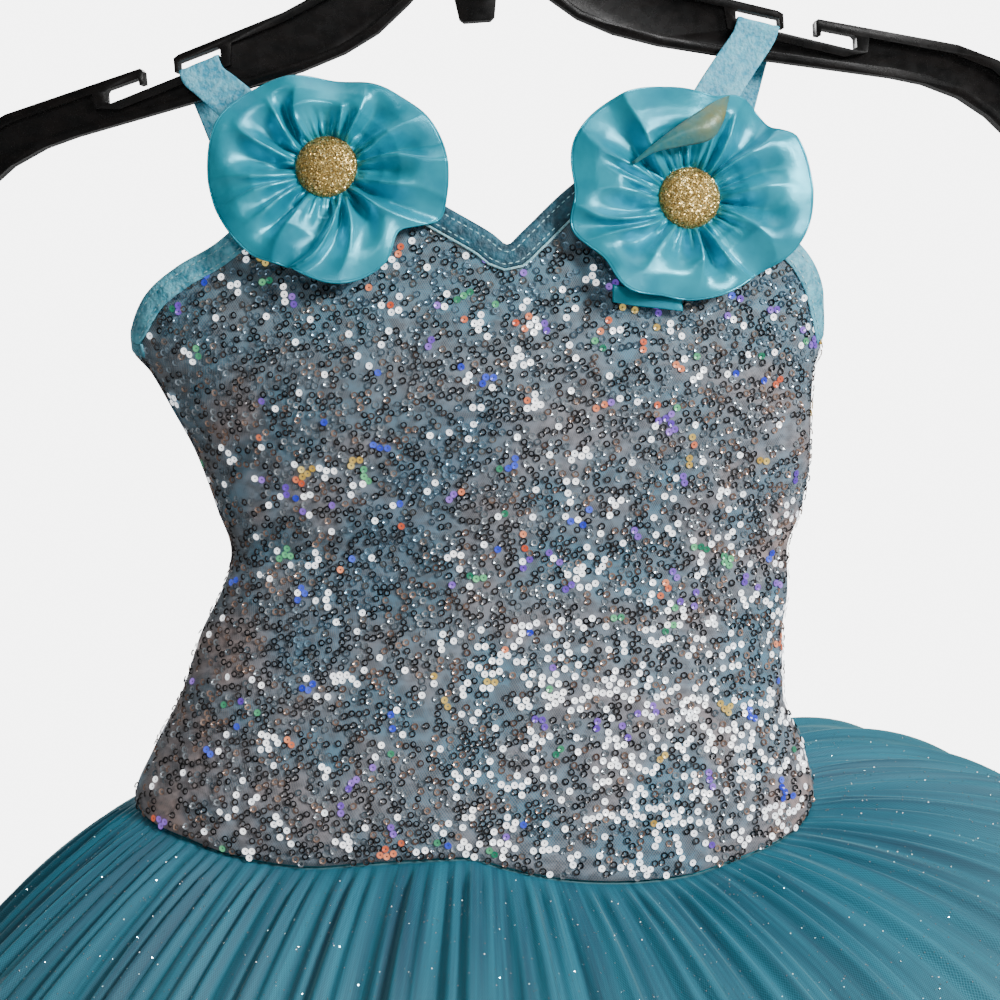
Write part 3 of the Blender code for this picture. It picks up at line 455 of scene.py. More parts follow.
def object_place(tree):
    return node(tree, "ShaderNodeTexCoord").outputs["Object"]


def map_place(tree):
    return node(tree, "ShaderNodeUVMap").outputs[0]


def axes_of(tree, place):
    return node(tree, "ShaderNodeSeparateXYZ", {0: place}).outputs


def scaled(tree, place, by):
    return node(tree, "ShaderNodeVectorMath", {0: place, 1: by}, operation="MULTIPLY").outputs[0]


def noise(tree, place, scale, detail):
    made = node(tree, "ShaderNodeTexNoise", {"Vector": place, "Scale": scale, "Detail": detail})
    return made.outputs["Fac"]


def blend_colours(tree, share, first, second):
    made = node(tree, "ShaderNodeMix", data_type="RGBA")
    for name, value in (("Factor_Float", share), ("A_Color", first), ("B_Color", second)):
        feed(tree, next(s for s in made.inputs if s.identifier == name), value)
    return next(s for s in made.outputs if s.identifier == "Result_Color")


def ramp(tree, value, low, high):
    """Runs smoothly from 0 at low to 1 at high."""
    inputs = {"Value": value, "From Min": low, "From Max": high}
    return node(tree, "ShaderNodeMapRange", inputs, interpolation_type="SMOOTHSTEP").outputs[0]


def new_group(name, inputs, outputs):
    group = bpy.data.node_groups.new(name, "ShaderNodeTree")
    for way, sockets in (("INPUT", inputs), ("OUTPUT", outputs)):
        for socket_name, kind in sockets:
            group.interface.new_socket(socket_name, in_out=way, socket_type="NodeSocket" + kind)
    return group, group.nodes.new("NodeGroupInput"), group.nodes.new("NodeGroupOutput")


def soft_patches_group():
    """Cloudy patches, as where a pile is crushed or a dye takes unevenly."""
    group, given, result = new_group(
        "soft patches", [("Size mm", "Float"), ("Stretch", "Vector")], [("Mask", "Float")]
    )
    place = scaled(group, object_place(group), given.outputs["Stretch"])
    cloud = noise(group, place, maths(group, "DIVIDE", 1000.0, given.outputs["Size mm"]), 3.0)
    group.links.new(ramp(group, cloud, 0.32, 0.68), result.inputs["Mask"])
    return group


def net_threads_group():
    """Two sets of crossing threads on a map in millimetres: 1 on a thread, 0 in a hole."""
    group, given, result = new_group(
        "net threads", [("Pitch mm", "Float"), ("Slant", "Float")], [("Thread", "Float")]
    )
    across, along, _ = axes_of(group, map_place(group))
    turns = maths(group, "DIVIDE", math.pi, given.outputs["Pitch mm"])
    leaned = times(group, along, given.outputs["Slant"])
    near = []
    for way in ("ADD", "SUBTRACT"):
        wave = maths(group, "SINE", times(group, maths(group, way, across, leaned), turns))
        near.append(maths(group, "ABSOLUTE", wave))
    closest = ramp(group, maths(group, "MINIMUM", *near), 0.12, 0.5)
    group.links.new(minus(group, 1.0, closest), result.inputs["Thread"])
    return group


SOFT_PATCHES = soft_patches_group()
NET_THREADS = net_threads_group()


def patches(tree, size_mm, stretch=(1, 1, 1)):
    inputs = {"Size mm": size_mm, "Stretch": stretch}
    return node(tree, "ShaderNodeGroup", inputs, node_tree=SOFT_PATCHES).outputs[0]


def threads(tree, pitch_mm, slant):
    inputs = {"Pitch mm": pitch_mm, "Slant": slant}
    return node(tree, "ShaderNodeGroup", inputs, node_tree=NET_THREADS).outputs[0]


def new_material(name, colour, roughness, metallic=0.0, **settings):
    material = bpy.data.materials.new(name)
    material.use_nodes = True
    tree = material.node_tree
    shader = tree.nodes["Principled BSDF"]
    shader.inputs["Base Color"].default_value = colour
    shader.inputs["Roughness"].default_value = roughness
    shader.inputs["Metallic"].default_value = metallic
    for socket, value in settings.items():
        shader.inputs[socket.replace("_", " ")].default_value = value
    return material, tree, shader


def bump(tree, shader, height, strength, distance_mm):
    inputs = {"Height": height, "Strength": strength, "Distance": distance_mm * MM}
    made = node(tree, "ShaderNodeBump", inputs)
    tree.links.new(made.outputs[0], shader.inputs["Normal"])


def paint(tree, shader, colour):
    feed(tree, shader.inputs["Base Color"], colour)


def tinted(name, roughness, metallic, glow=0.0):
    """A material for small bits, each of which brings its own colour."""
    material, tree, shader = new_material(name, (0.8, 0.8, 0.8, 1), roughness, metallic)
    tint = node(tree, "ShaderNodeVertexColor", layer_name="tint").outputs[0]
    paint(tree, shader, tint)
    # glow makes the bits shine by themselves: a painted glint
    if glow:
        feed(tree, shader.inputs["Emission Color"], tint)
        shader.inputs["Emission Strength"].default_value = glow
    return material


def long_crease_mask(tree, x, z):
    """1 along the long crease, and 0 away from it and past its ends. It places the crease's painted shade."""
    (x1, z1), (x2, z2) = LONG_CREASE
    run = math.hypot(x2 - x1, z2 - z1)
    across = minus(
        tree, times(tree, minus(tree, x, x1 * MM), (z2 - z1) / run),
        times(tree, minus(tree, z, z1 * MM), (x2 - x1) / run),
    )
    beside = ramp(tree, maths(tree, "ABSOLUTE", across), 0.004, 0.024)
    off_middle = maths(tree, "ABSOLUTE", minus(tree, z, (z1 + z2) / 2 * MM))
    past_ends = ramp(tree, off_middle, 0.04, 0.065)
    return times(tree, minus(tree, 1.0, beside), minus(tree, 1.0, past_ends))


def sequin_cloth():
    """Stretch cloth under net, tanned in patches and at the sides, bluer at the neck, and bluer and darker
    in one crease, a painted shade.
    """
    material, tree, shader = new_material(
        "sequin_cloth", srgb(70, 98, 112), 0.55, Sheen_Weight=0.3, Sheen_Roughness=0.4
    )
    fine = patches(tree, 5, (1, 1, 1.4))
    x, _, z = axes_of(tree, object_place(tree))
    sides = ramp(tree, maths(tree, "ABSOLUTE", minus(tree, x, CHEST_X * MM)), 0.06, 0.13)
    tanned = times(tree, patches(tree, 30), plus(tree, 0.6, times(tree, sides, 0.4)))
    base = blend_colours(tree, tanned, srgb(60, 122, 150), srgb(158, 134, 128))
    near_neck = times(tree, ramp(tree, z, -0.3, -0.22), 0.8)
    base = blend_colours(tree, near_neck, base, srgb(40, 120, 146))
    # Painted shade: bluer and darker along the long crease
    painted_crease_shade = times(tree, long_crease_mask(tree, x, z), 0.75)
    base = blend_colours(tree, painted_crease_shade, base, srgb(52, 112, 142))
    base = blend_colours(tree, times(tree, fine, 0.75), base, srgb(46, 58, 70))
    net = threads(tree, 0.9, 0.6)
    paint(tree, shader, blend_colours(tree, times(tree, net, 0.5), base, srgb(158, 150, 144)))
    bump(tree, shader, plus(tree, net, times(tree, fine, 1.5)), 0.5, 0.4)
    return material


def spandex():
    material, tree, shader = new_material(
        "spandex", srgb(40, 150, 172), 0.34, Sheen_Weight=0.25, Sheen_Roughness=0.35, Specular_IOR_Level=0.6
    )
    paint(tree, shader, blend_colours(tree, patches(tree, 40), srgb(34, 144, 166), srgb(54, 164, 186)))
    bump(tree, shader, noise(tree, object_place(tree), 1500.0, 1.0), 0.25, 0.3)
    return material


def velvet(name, dark, light, sheen=0.35):
    material, tree, shader = new_material(
        name, dark, 0.6, Sheen_Weight=sheen, Sheen_Roughness=0.35, Sheen_Tint=srgb(160, 215, 235)
    )
    crushed, pile_sheen_patches = patches(tree, 5), patches(tree, 1.6)
    base = blend_colours(tree, crushed, dark, light)
    # The pale colour mixed into the small pile patches, as much as the sheen weight, is a painted sheen
    paint(tree, shader, blend_colours(tree, times(tree, pile_sheen_patches, sheen), base, srgb(150, 205, 222)))
    bump(tree, shader, plus(tree, pile_sheen_patches, crushed), 0.5, 0.5)
    return material


def satin():
    material, tree, shader = new_material(
        "satin", srgb(10, 140, 160), 0.32, 0.4, Sheen_Weight=0.2, Sheen_Roughness=0.3,
        Sheen_Tint=srgb(150, 235, 240), Specular_IOR_Level=0.8,
    )
    base = blend_colours(tree, patches(tree, 18), srgb(0, 142, 166), srgb(26, 170, 192))
    behind = node(tree, "ShaderNodeNewGeometry").outputs["Backfacing"]
    paint(tree, shader, blend_colours(tree, behind, base, srgb(70, 165, 160)))
    weave = times(tree, threads(tree, 0.35, 0.2), 0.12)
    bump(tree, shader, plus(tree, weave, patches(tree, 7)), 0.22, 0.4)
    return material


def satin_reverse():
    material, tree, shader = new_material("satin_reverse", srgb(70, 140, 140), 0.42, 0.2, Sheen_Weight=0.1)
    fine = patches(tree, 2)
    along = axes_of(tree, map_place(tree))[0]
    # Painted sheen: yellow in patches, more of it towards the far end of the flap
    painted_yellow_sheen = times(tree, ramp(tree, along, 12.0, 40.0), patches(tree, 12))
    base = blend_colours(tree, painted_yellow_sheen, srgb(30, 112, 120), srgb(112, 112, 62))
    paint(tree, shader, blend_colours(tree, times(tree, fine, 0.25), base, srgb(98, 132, 104)))
    bump(tree, shader, fine, 0.25, 0.3)
    return material


def net_cloth(name, dark, light, holes):
    """Fine net that darkens in streaks where its gathers crowd together, and pales towards its hem. Where it
    is seen edge on it pales as well, which is painted light. holes is how much of the look the net keeps
    in its holes."""
    material, tree, shader = new_material(
        name, dark, 0.6, Sheen_Weight=0.3, Sheen_Roughness=0.5, Sheen_Tint=srgb(150, 215, 225)
    )
    net = threads(tree, 1.0, 0.55)
    place = map_place(tree)
    streak = 0.0
    for across, along, share in ((0.4, 0.012, 0.3), (0.13, 0.006, 0.4), (0.03, 0.004, 0.3)):
        cloud = noise(tree, scaled(tree, place, (across, along, 1)), 1.0, 2.0)
        streak = plus(tree, times(tree, ramp(tree, cloud, 0.36, 0.64), share), streak)
    base = blend_colours(tree, streak, dark, light)
    down = ramp(tree, axes_of(tree, place)[1], 10.0, 160.0)
    base = blend_colours(tree, times(tree, down, 0.35), base, srgb(78, 150, 162))
    # Painted light: paler where the net is seen edge on
    facing = node(tree, "ShaderNodeLayerWeight", {"Blend": 0.5}).outputs["Facing"]
    edge_on_painted_light = times(tree, ramp(tree, facing, 0.6, 0.97), 0.55)
    base = blend_colours(tree, edge_on_painted_light, base, srgb(122, 166, 166))
    paint(tree, shader, blend_colours(tree, net, blend_colours(tree, 0.5, base, srgb(0, 48, 64)), base))
    see = node(tree, "ShaderNodeMapRange", {"Value": net, "To Min": holes, "To Max": 1.0})
    feed(tree, shader.inputs["Alpha"], see.outputs[0])
    bump(tree, shader, plus(tree, net, streak), 0.35, 0.5)
    return material


def gold_paste():
    material, tree, shader = new_material("gold_paste", srgb(150, 122, 62), 0.45, 0.7)
    grain = patches(tree, 0.9)
    paint(tree, shader, blend_colours(tree, grain, srgb(96, 74, 34), srgb(198, 168, 98)))
    bump(tree, shader, grain, 0.8, 0.5)
    return material


def hanger_plastic():
    material, tree, shader = new_material("hanger_plastic", srgb(8, 7, 7), 0.24, Specular_IOR_Level=0.28)
    scuffs = patches(tree, 12, (1, 1, 3))
    paint(tree, shader, blend_colours(tree, scuffs, srgb(5, 5, 5), srgb(14, 11, 10)))
    grain = noise(tree, object_place(tree), 260.0, 2.0)
    rough = node(tree, "ShaderNodeMapRange", {"Value": grain, "To Min": 0.18, "To Max": 0.36})
    feed(tree, shader.inputs["Roughness"], rough.outputs[0])
    bump(tree, shader, grain, 0.1, 0.3)
    return material


def thread_material(name, colour):
    material, tree, shader = new_material(name, colour, 0.5, Sheen_Weight=0.4)
    paint(tree, shader, blend_colours(tree, patches(tree, 0.8), colour, srgb(170, 215, 222)))
    return material


MATERIALS = {
    "sequin_cloth": sequin_cloth(),
    # Sequins tinted with painted reflections, one colour each
    "sequin_film": tinted("sequin_film", 0.2, 0.55),
    # Painted glints: the white and rainbow sequins, pale and glowing
    "sequin_painted_glint": tinted("sequin_painted_glint", 0.25, 0.1, glow=1.2),
    "spandex": spandex(),
    "binding": velvet("binding_velvet", srgb(28, 124, 148), srgb(96, 186, 206)),
    "neck_binding": velvet("neck_binding_velvet", srgb(2, 48, 64), srgb(20, 86, 106), 0.06),
    "strap": velvet("strap_velvet", srgb(36, 146, 178), srgb(94, 184, 208)),
    "satin": satin(),
    "satin_reverse": satin_reverse(),
    "outer_net": net_cloth("outer_net", srgb(0, 64, 88), srgb(24, 128, 152), 0.9),
    "middle_net": net_cloth("middle_net", srgb(0, 84, 108), srgb(20, 128, 150), 0.93),
    "inner_net": net_cloth("inner_net", srgb(0, 74, 94), srgb(10, 104, 124), 0.95),
    "glitter": tinted("net_glitter", 0.12, 0.9),
    "gold_glitter": tinted("gold_glitter", 0.34, 0.8),
    "gold_paste": gold_paste(),
    "plastic": hanger_plastic(),
    "thread": thread_material("sewing_thread", srgb(110, 176, 188)),
    "piping": thread_material("piping_cord", srgb(104, 168, 182)),
}


def linked(name, data):
    """A new object in the scene."""
    obj = bpy.data.objects.new(name, data)
    bpy.context.scene.collection.objects.link(obj)
    return obj


def mesh_from(bm, name):
    mesh = bpy.data.meshes.new(name)
    bm.to_mesh(mesh)
    bm.free()
    return mesh


def spun(profile, steps):
    """A profile of radii and heights in metres, turned round Z."""
    bm = bmesh.new()
    verts = [bm.verts.new((radius, 0, height)) for radius, height in profile]
    edges = [bm.edges.new(pair) for pair in zip(verts, verts[1:])]
    bmesh.ops.spin(
        bm, geom=verts + edges, cent=(0, 0, 0), axis=(0, 0, 1), angle=2 * math.pi, steps=steps,
        use_duplicate=False,
    )
    bmesh.ops.remove_doubles(bm, verts=bm.verts, dist=1e-6)
    return bm


def finish_piece(name, mesh, material, replaced=()):
    mesh.materials.append(MATERIALS[material])
    mesh.shade_smooth()
    obj = linked(name, mesh)
    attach(obj, "root")
    if replaced:
        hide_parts(*replaced)
    return obj


def cloth_map(along, across):
    """The place in the flat cloth of each point of a grid."""
    return np.stack(np.broadcast_arrays(along[None, :], across[:, None]), -1)


def sheet_piece(name, points, place, material, wall, closed=False, side=-1, replaced=()):
    """A cloth shell through rows of points in millimetres, its right side towards rows that rise and columns
    that run right. place is the map in millimetres at each point, and side says which way the wall grows."""
    rows, columns = points.shape[:2]
    bm = bmesh.new()
    bmesh.ops.create_grid(bm, x_segments=columns - 1, y_segments=rows - 1, size=1.0)
    spots = {
        vert: (round((vert.co.y + 1) / 2 * (rows - 1)), round((vert.co.x + 1) / 2 * (columns - 1)))
        for vert in bm.verts
    }
    layer = bm.loops.layers.uv.new("cloth")
    for face in bm.faces:
        for loop in face.loops:
            loop[layer].uv = place[spots[loop.vert]]
    for vert, spot in spots.items():
        vert.co = Vector(points[spot]) * MM
    if closed:
        bmesh.ops.remove_doubles(bm, verts=bm.verts, dist=1e-7)
    obj = finish_piece(name, mesh_from(bm, name), material, replaced)
    solid = obj.modifiers.new("wall", "SOLIDIFY")
    solid.thickness = wall * MM
    solid.offset = side
    return obj


def joined_bits(name, shape, faces, frames, material, tints=None):
    """Many copies of one small shape as a single mesh. frames holds each one's centre and three axes."""
    centres, across, along, up = frames
    count, corners = len(centres), len(shape)
    points = (
        centres[:, None, :] + shape[None, :, 0, None] * across[:, None, :]
        + shape[None, :, 1, None] * along[:, None, :] + shape[None, :, 2, None] * up[:, None, :]
    )
    mesh = bpy.data.meshes.new(name)
    loops = np.array(faces)
    index = (loops[None, :, :] + (np.arange(count) * corners)[:, None, None]).reshape(-1, loops.shape[1])
    mesh.from_pydata((points.reshape(-1, 3) * MM).tolist(), [], index.tolist())
    if tints is not None:
        layer = mesh.color_attributes.new("tint", "FLOAT_COLOR", "POINT")
        layer.data.foreach_set("color", np.repeat(tints, corners, axis=0).astype(np.float32).ravel())
    return finish_piece(name, mesh, material)


def frames_on(points, normals, tilt_deg):
    """Centres and axes of bits that lie on a surface, each tipped at random by about tilt_deg."""
    up = unit(normals + dice.normal(0, math.tan(math.radians(tilt_deg)) / 2, (len(points), 3)))
    along = unit(np.cross(up, dice.normal(size=(len(points), 3))))
    return points, np.cross(along, up), along, up


def ring_shape(sides, outer, inner, cup):
    """A flat ring, its outer rim raised by cup, as points and faces."""
    angles = np.linspace(0, 2 * np.pi, sides, endpoint=False)
    rims = [
        np.stack([r * np.cos(angles), r * np.sin(angles), np.full(sides, h)], -1)
        for r, h in ((outer, cup), (inner, 0.0))
    ]
    faces = [(k, (k + 1) % sides, sides + (k + 1) % sides, sides + k) for k in range(sides)]
    return np.concatenate(rims), faces


def stitch_row(name, line, normals, slot):
    """Sewing stitches along a line of points on cloth."""
    count = max(3, int(line_length(line) / STITCH_PITCH))
    line = resample(np.concatenate([line, normals], 1), count)
    points, up = line[:, :3], unit(line[:, 3:])
    along = unit(np.gradient(points, axis=0))
    half, side, rise = STITCH_LENGTH / 2, STITCH_WIDTH / 2, STITCH_WIDTH * 0.45
    shape = np.array([
        (-half, 0, -0.15), (-half * 0.6, side, rise * 0.5), (-half * 0.6, -side, rise * 0.5),
        (0, side, rise), (0, -side, rise), (half * 0.6, side, rise * 0.5),
        (half * 0.6, -side, rise * 0.5), (half, 0, -0.15),
    ])
    faces = [(0, 2, 1), (1, 2, 4), (1, 4, 3), (3, 4, 6), (3, 6, 5), (5, 6, 7)]
    frames = points + up * 0.05, along, -np.cross(along, up), up
    return joined_bits(name, shape, faces, frames, "thread")


def cord_piece(name, line, radius, material, cyclic=False):
    """A thin round cord along a line of points, as a mesh."""
    curve = bpy.data.curves.new(name, "CURVE")
    curve.dimensions = "3D"
    curve.bevel_depth = radius * MM
    curve.bevel_resolution = 1
    curve.use_fill_caps = not cyclic
    spline = curve.splines.new("POLY")
    spline.points.add(len(line) - 1)
    for spot, place in zip(spline.points, line):
        spot.co = (*(np.array(place) * MM), 1)
    spline.use_cyclic_u = cyclic
    shape = linked(name + "_path", curve)
    bpy.context.view_layer.update()
    mesh = bpy.data.meshes.new_from_object(shape)
    mesh.name = name
    bpy.data.objects.remove(shape, do_unlink=True)
    mesh.materials.clear()
    return finish_piece(name, mesh, material)


FRONT_HIP_LINE, BACK_HIP_LINE = edge_line(FRONT_HIP, 120), edge_line(BACK_HIP, 120, True)


def front_hip(phi):
    return np.interp(phi, FRONT_HIP_LINE[:, 0], FRONT_HIP_LINE[:, 1])


def back_hip(phi):
    return np.interp(phi, BACK_HIP_LINE[:, 0], BACK_HIP_LINE[:, 1])


def hip_height(phi):
    return np.where(phi <= np.pi / 2, front_hip(phi), back_hip(phi))


TOP_FRONT = [
    edge_line(FRONT_ARMHOLE_LEFT, 46), edge_line(FRONT_NECK, 76), edge_line(FRONT_ARMHOLE_RIGHT, 46),
]
TOP_BACK = [
    edge_line(BACK_ARMHOLE_RIGHT, 34, True), edge_line(BACK_NECK, 76, True),
    edge_line(BACK_ARMHOLE_LEFT, 34, True),
]


def panel_points(top, hip, rows, seam_shift):
    """Rows from the hip up to the top edge, and the map of the cloth."""
    phi_top, z_top = np.concatenate(top).T
    phi_hip = np.linspace(phi_top[0], phi_top[-1], len(phi_top))
    share = np.linspace(0, 1, rows)[:, None]
    z = hip(phi_hip) * (1 - share) + z_top * share
    points, _ = torso_points(phi_hip * (1 - share) + phi_top * share, z)
    points[:, [0, -1], 1] += seam_shift
    return points, np.stack([np.broadcast_to(walked(points[rows // 2]), z.shape), z], -1)


def build_bodice():
    panels = []
    for side, top, hip, rows, seam_shift, material, slot in (
        ("front", TOP_FRONT, front_hip, 84, -SEAM_GAP, "sequin_cloth", "sequin_net"),
        ("back", TOP_BACK, back_hip, 70, SEAM_GAP, "spandex", "spandex"),
    ):
        points, place = panel_points(top, hip, rows, seam_shift)
        panels.append(sheet_piece(
            f"bodice_{side}_cloth", points, place, material, BODICE_WALL,
            replaced=[f"bodice_{side}"],
        ))
    return panels


def well_apart(points):
    """Indices of points that lie clear of those chosen before them, found through a grid of cells."""
    cell_size = 2.5
    taken, chosen = {}, []
    for k, point in enumerate(points):
        cell = tuple(int(math.floor(c / cell_size)) for c in point)
        near = itertools.chain.from_iterable(
            taken.get((cell[0] + dx, cell[1] + dy, cell[2] + dz), ())
            for dx, dy, dz in itertools.product((-1, 0, 1), repeat=3)
        )
        if not any(
            np.abs(points[other] - point).sum() < 4.2 and math.dist(points[other], point) < SEQUIN_SPACING
            for other in near
        ):
            taken.setdefault(cell, []).append(k)
            chosen.append(k)
    return chosen


def sequin_spots():
    """Sequins sewn in wandering chains over the front, as points and the way out of the cloth."""
    top = np.concatenate(TOP_FRONT)
    phi = dice.uniform(-np.pi / 2, np.pi / 2, SEQUIN_CHAINS * 3)
    keep = dice.uniform(size=len(phi)) < np.sqrt(np.cos(phi) ** 2 + 0.09 * np.sin(phi) ** 2)
    phi = phi[keep][:SEQUIN_CHAINS]
    z = dice.uniform(SEQUIN_LOW, SEQUIN_HIGH, len(phi))
    heading = dice.uniform(0, 2 * np.pi, len(phi))
    found_phi, found_z = [], []
    for _ in range(SEQUINS_A_CHAIN):
        found_phi.append(phi)
        found_z.append(z)
        heading = heading + dice.normal(0, 0.75, len(phi))
        speed = np.linalg.norm(skin_slopes(phi, z)[0], axis=-1)
        phi = phi + SEQUIN_STEP * np.cos(heading) / speed
        z = z + SEQUIN_STEP * np.sin(heading)
    phi, z = np.stack(found_phi, 1).ravel(), np.stack(found_z, 1).ravel()
    low, high = front_hip(phi), np.interp(phi, top[:, 0], top[:, 1])
    edge_room = TOP_ROOM + BINDING_ROOM * (phi > top[1, 0]) * (phi < top[-2, 0])
    inside = (np.abs(phi) < np.pi / 2 - SIDE_ROOM) & (z > low + HIP_ROOM) & (z < high - edge_room)
    points, normals = torso_points(phi[inside], z[inside])
    chosen = well_apart(points)
    return points[chosen], normals[chosen]


def near_any(points, centres, reach):
    """The nearest of the centres to each point, and whether it lies within reach."""
    gaps = np.linalg.norm(points[:, None, :] - points[None, centres, :], axis=-1)
    return gaps.argmin(1), gaps.min(1) < reach


def sequin_tints(points):
    """Each sequin's colour, a painted reflection, and which ones are painted glints. Those come mostly
    in clumps: white ones, more of them low and to the right, and small groups of one rainbow colour."""
    count = len(points)
    x, z = points[:, 0], points[:, 2]
    names = list(SEQUIN_COLOURS)
    lower = np.clip((-z - 300) / 140, 0, 1)
    right = np.clip((x + 40) / 110, 0, 1)
    sides = np.clip((np.abs(x - CHEST_X) - 85) / 35, 0, 1)
    weights = np.stack([
        0.42 + 0.06 * lower - 0.12 * (z > -262), 0.34 - 0.1 * lower, 0.16 + 0.12 * sides,
        0.035 + 0.05 * lower * right,
    ], 1)
    weights /= weights.sum(1, keepdims=True)
    pick = (weights.cumsum(1) < dice.uniform(size=(count, 1))).sum(1)
    # Painted glints: white clumps, more often low and to the right
    flash_odds = 0.07 + lower * right ** 1.3
    centres = dice.choice(count, WHITE_CLUMPS, replace=False, p=flash_odds / flash_odds.sum())
    _, near = near_any(points, centres, 4.4)
    pick[near & (dice.uniform(size=count) < 0.52)] = names.index("white")
    centres = dice.choice(count, RAINBOW_CLUMPS, replace=False)
    hues = dice.choice(5, RAINBOW_CLUMPS, p=(0.26, 0.26, 0.16, 0.18, 0.14)) + names.index("blue")
    nearest, near = near_any(points, centres, 3.1)
    turned = near & (dice.uniform(size=count) < 0.55)
    pick[turned] = hues[nearest[turned]]
    ends = np.array([[srgb(*end) for end in pair] for pair in SEQUIN_COLOURS.values()])[pick]
    share = dice.uniform(size=(count, 1))
    tints = ends[:, 0] * (1 - share) + ends[:, 1] * share
    # Painted shade along the long crease makes the sequins there darker and bluer; towards the neck they are
    # darker and bluer too. The glints are left as they are
    start, end = np.array(LONG_CREASE)
    run = end - start
    along = np.clip(((points[:, ::2] - start) @ run) / (run @ run), 0, 1)
    aside = np.linalg.norm(points[:, ::2] - start - along[:, None] * run, axis=1)
    crease_shade_and_neck_tint = np.maximum(1 - smooth_step((aside - 6) / 16), 0.9 * smooth_step((z + 292) / 60))
    # The painted glints: white and the rainbow kinds
    bright = pick >= names.index("white")
    tints[:, :3] *= 1 - (crease_shade_and_neck_tint * ~bright)[:, None] * np.array([0.55, 0.28, 0.1])
    return tints, bright


def build_sequins():
    points, normals = sequin_spots()
    tints, bright = sequin_tints(points)
    made = []
    # The second set are the painted glints: pale, glowing sequins
    for name, which, material, hole, tilt in (
        ("sequins", ~bright, "sequin_film", 0.78, 17), ("sequins_painted_glint", bright, "sequin_painted_glint", 0.34, 12),
    ):
        shape, faces = ring_shape(SEQUIN_SIDES, SEQUIN_RADIUS, hole, 0.3)
        frames = frames_on(points[which] + normals[which] * SEQUIN_LIFT, normals[which], tilt)
        made.append(joined_bits(name, shape, faces, frames, material, tints[which]))
    return made


def skin_line(line, reach, out):
    """Points, and the way out, of a (phi, z) line moved reach mm over the skin and lifted out mm."""
    return torso_points(*moved_in(line, reach).T, out)


def build_binding(name, parts, material, replaced):
    """A velvet strip folded over an edge, its two legs stitched down. parts are pieces of the edge."""
    line = np.concatenate([part if k == 0 else part[1:] for k, part in enumerate(parts)])
    count = np.arange(len(line))
    ripple = 0.22 * np.sin(count * 0.9) + 0.18 * np.sin(count * 0.37 + 1)
    rows = []
    for reach, off in BINDING_LEG:
        wobble = ripple * (0.4 if reach < 2 else 1.0) * (reach < 8)
        rows.append(skin_line(line, reach, off + wobble)[0])
    rim, normal = torso_points(*line.T)
    lip = unit(rim - skin_line(line, 3, 0.0)[0])
    rows += [rim + lip * past + normal * out for out, past in BINDING_FOLD]
    rows += [skin_line(line, reach, -BODICE_WALL - off)[0] for reach, off in reversed(BINDING_LEG)]
    points = np.array(rows)
    across, along = walked(points[:, len(line) // 2]), walked(points[0])
    strip = sheet_piece(
        name, points, cloth_map(along, across), material, BINDING_WALL, replaced=[replaced]
    )
    trims = [
        stitch_row(f"{name}_{label}_stitches", *skin_line(line, reach, off), "velour")
        for label, reach, off in (("outer", 1.9, 1.15), ("inner", 7.0, 1.1))
    ]
    return strip, trims, float(across[-1]), float(along[-1])


def build_bindings():
    made = [
        build_binding(name + "_strip", parts, material, name)
        for name, material, parts in (
            ("neck_binding_front", "neck_binding", TOP_FRONT[1:2]),
            ("neck_binding_back", "neck_binding", TOP_BACK[1:2]),
            ("armhole_binding_right", "binding", [TOP_FRONT[2], TOP_BACK[0]]),
            ("armhole_binding_left", "binding", [TOP_BACK[2], TOP_FRONT[0] + np.array([2 * np.pi, 0])]),
        )
    ]
    points, _ = skin_line(TOP_FRONT[1], 9.1, 0.75)
    neck_trims = made[0][1]
    neck_trims.append(cord_piece("neck_piping", points, 0.55, "piping"))
    return made


def build_brief():
    levels = np.array([row.z for row in reversed(LEG_EDGES)], float)
    columns = {
        name: smooth_table(levels, [getattr(row, name) for row in reversed(LEG_EDGES)], 200)
        for name in LegEdge._fields[1:]
    }
    across = np.linspace(0, 1, BRIEF_COLUMNS)

    def half(side, hip, first, last, seam_shift):
        """Rows down one half, from under the hip seam to the crotch."""
        made = []
        phi = first + (last - first) * across
        for share in np.linspace(0, 1, 9)[:-1]:
            z = (hip(phi) + BRIEF_TUCK) * (1 - share) + LEG_EDGES[0].z * share
            made.append(torso_points(phi, z, BRIEF_SKIN)[0])
        for z in np.linspace(LEG_EDGES[0].z, LEG_EDGES[-1].z, 40):
            start, end = (
                float(angle_of(np.interp(z, *columns[f"{side}_{edge}"]), z, side == "back"))
                for edge in ("left", "right")
            )
            phi = start + (end - start) * across
            made.append(torso_points(phi, np.full(len(phi), z), BRIEF_SKIN)[0])
        made = np.array(made)
        made[:, [0, -1], 1] += seam_shift
        return made

    front = half("front", front_hip, -np.pi / 2, np.pi / 2, -SEAM_GAP)
    back = half("back", back_hip, np.pi * 1.5, np.pi / 2, SEAM_GAP)
    left, right, low = CROTCH
    middle = np.stack([left + (right - left) * across, 0 * across, 0 * across + low], -1)
    points = np.concatenate([front, [middle], back[::-1]])[::-1]
    x_map, down = points[..., 0], walked(points[:, BRIEF_COLUMNS // 2])
    place = np.stack([x_map, np.broadcast_to(down[:, None], x_map.shape)], -1)
    brief = sheet_piece("brief_cloth", points, place, "spandex", BRIEF_WALL, replaced=["brief"])
    trims = []
    for side, column, way in (("left", 4, 1), ("right", BRIEF_COLUMNS - 5, -1)):
        line, inner, aside = (points[10:-10, column + way * k] for k in (0, 1, 4))
        up = unit(np.cross(np.gradient(line, axis=0), aside - inner))
        outward = line - np.array([MIDDLE_X, 0, -520])
        up *= np.sign((up * outward).sum(1, keepdims=True))
        trims.append(stitch_row(f"leg_hem_{side}", line + up * 0.2, up, "spandex"))
    return brief, trims


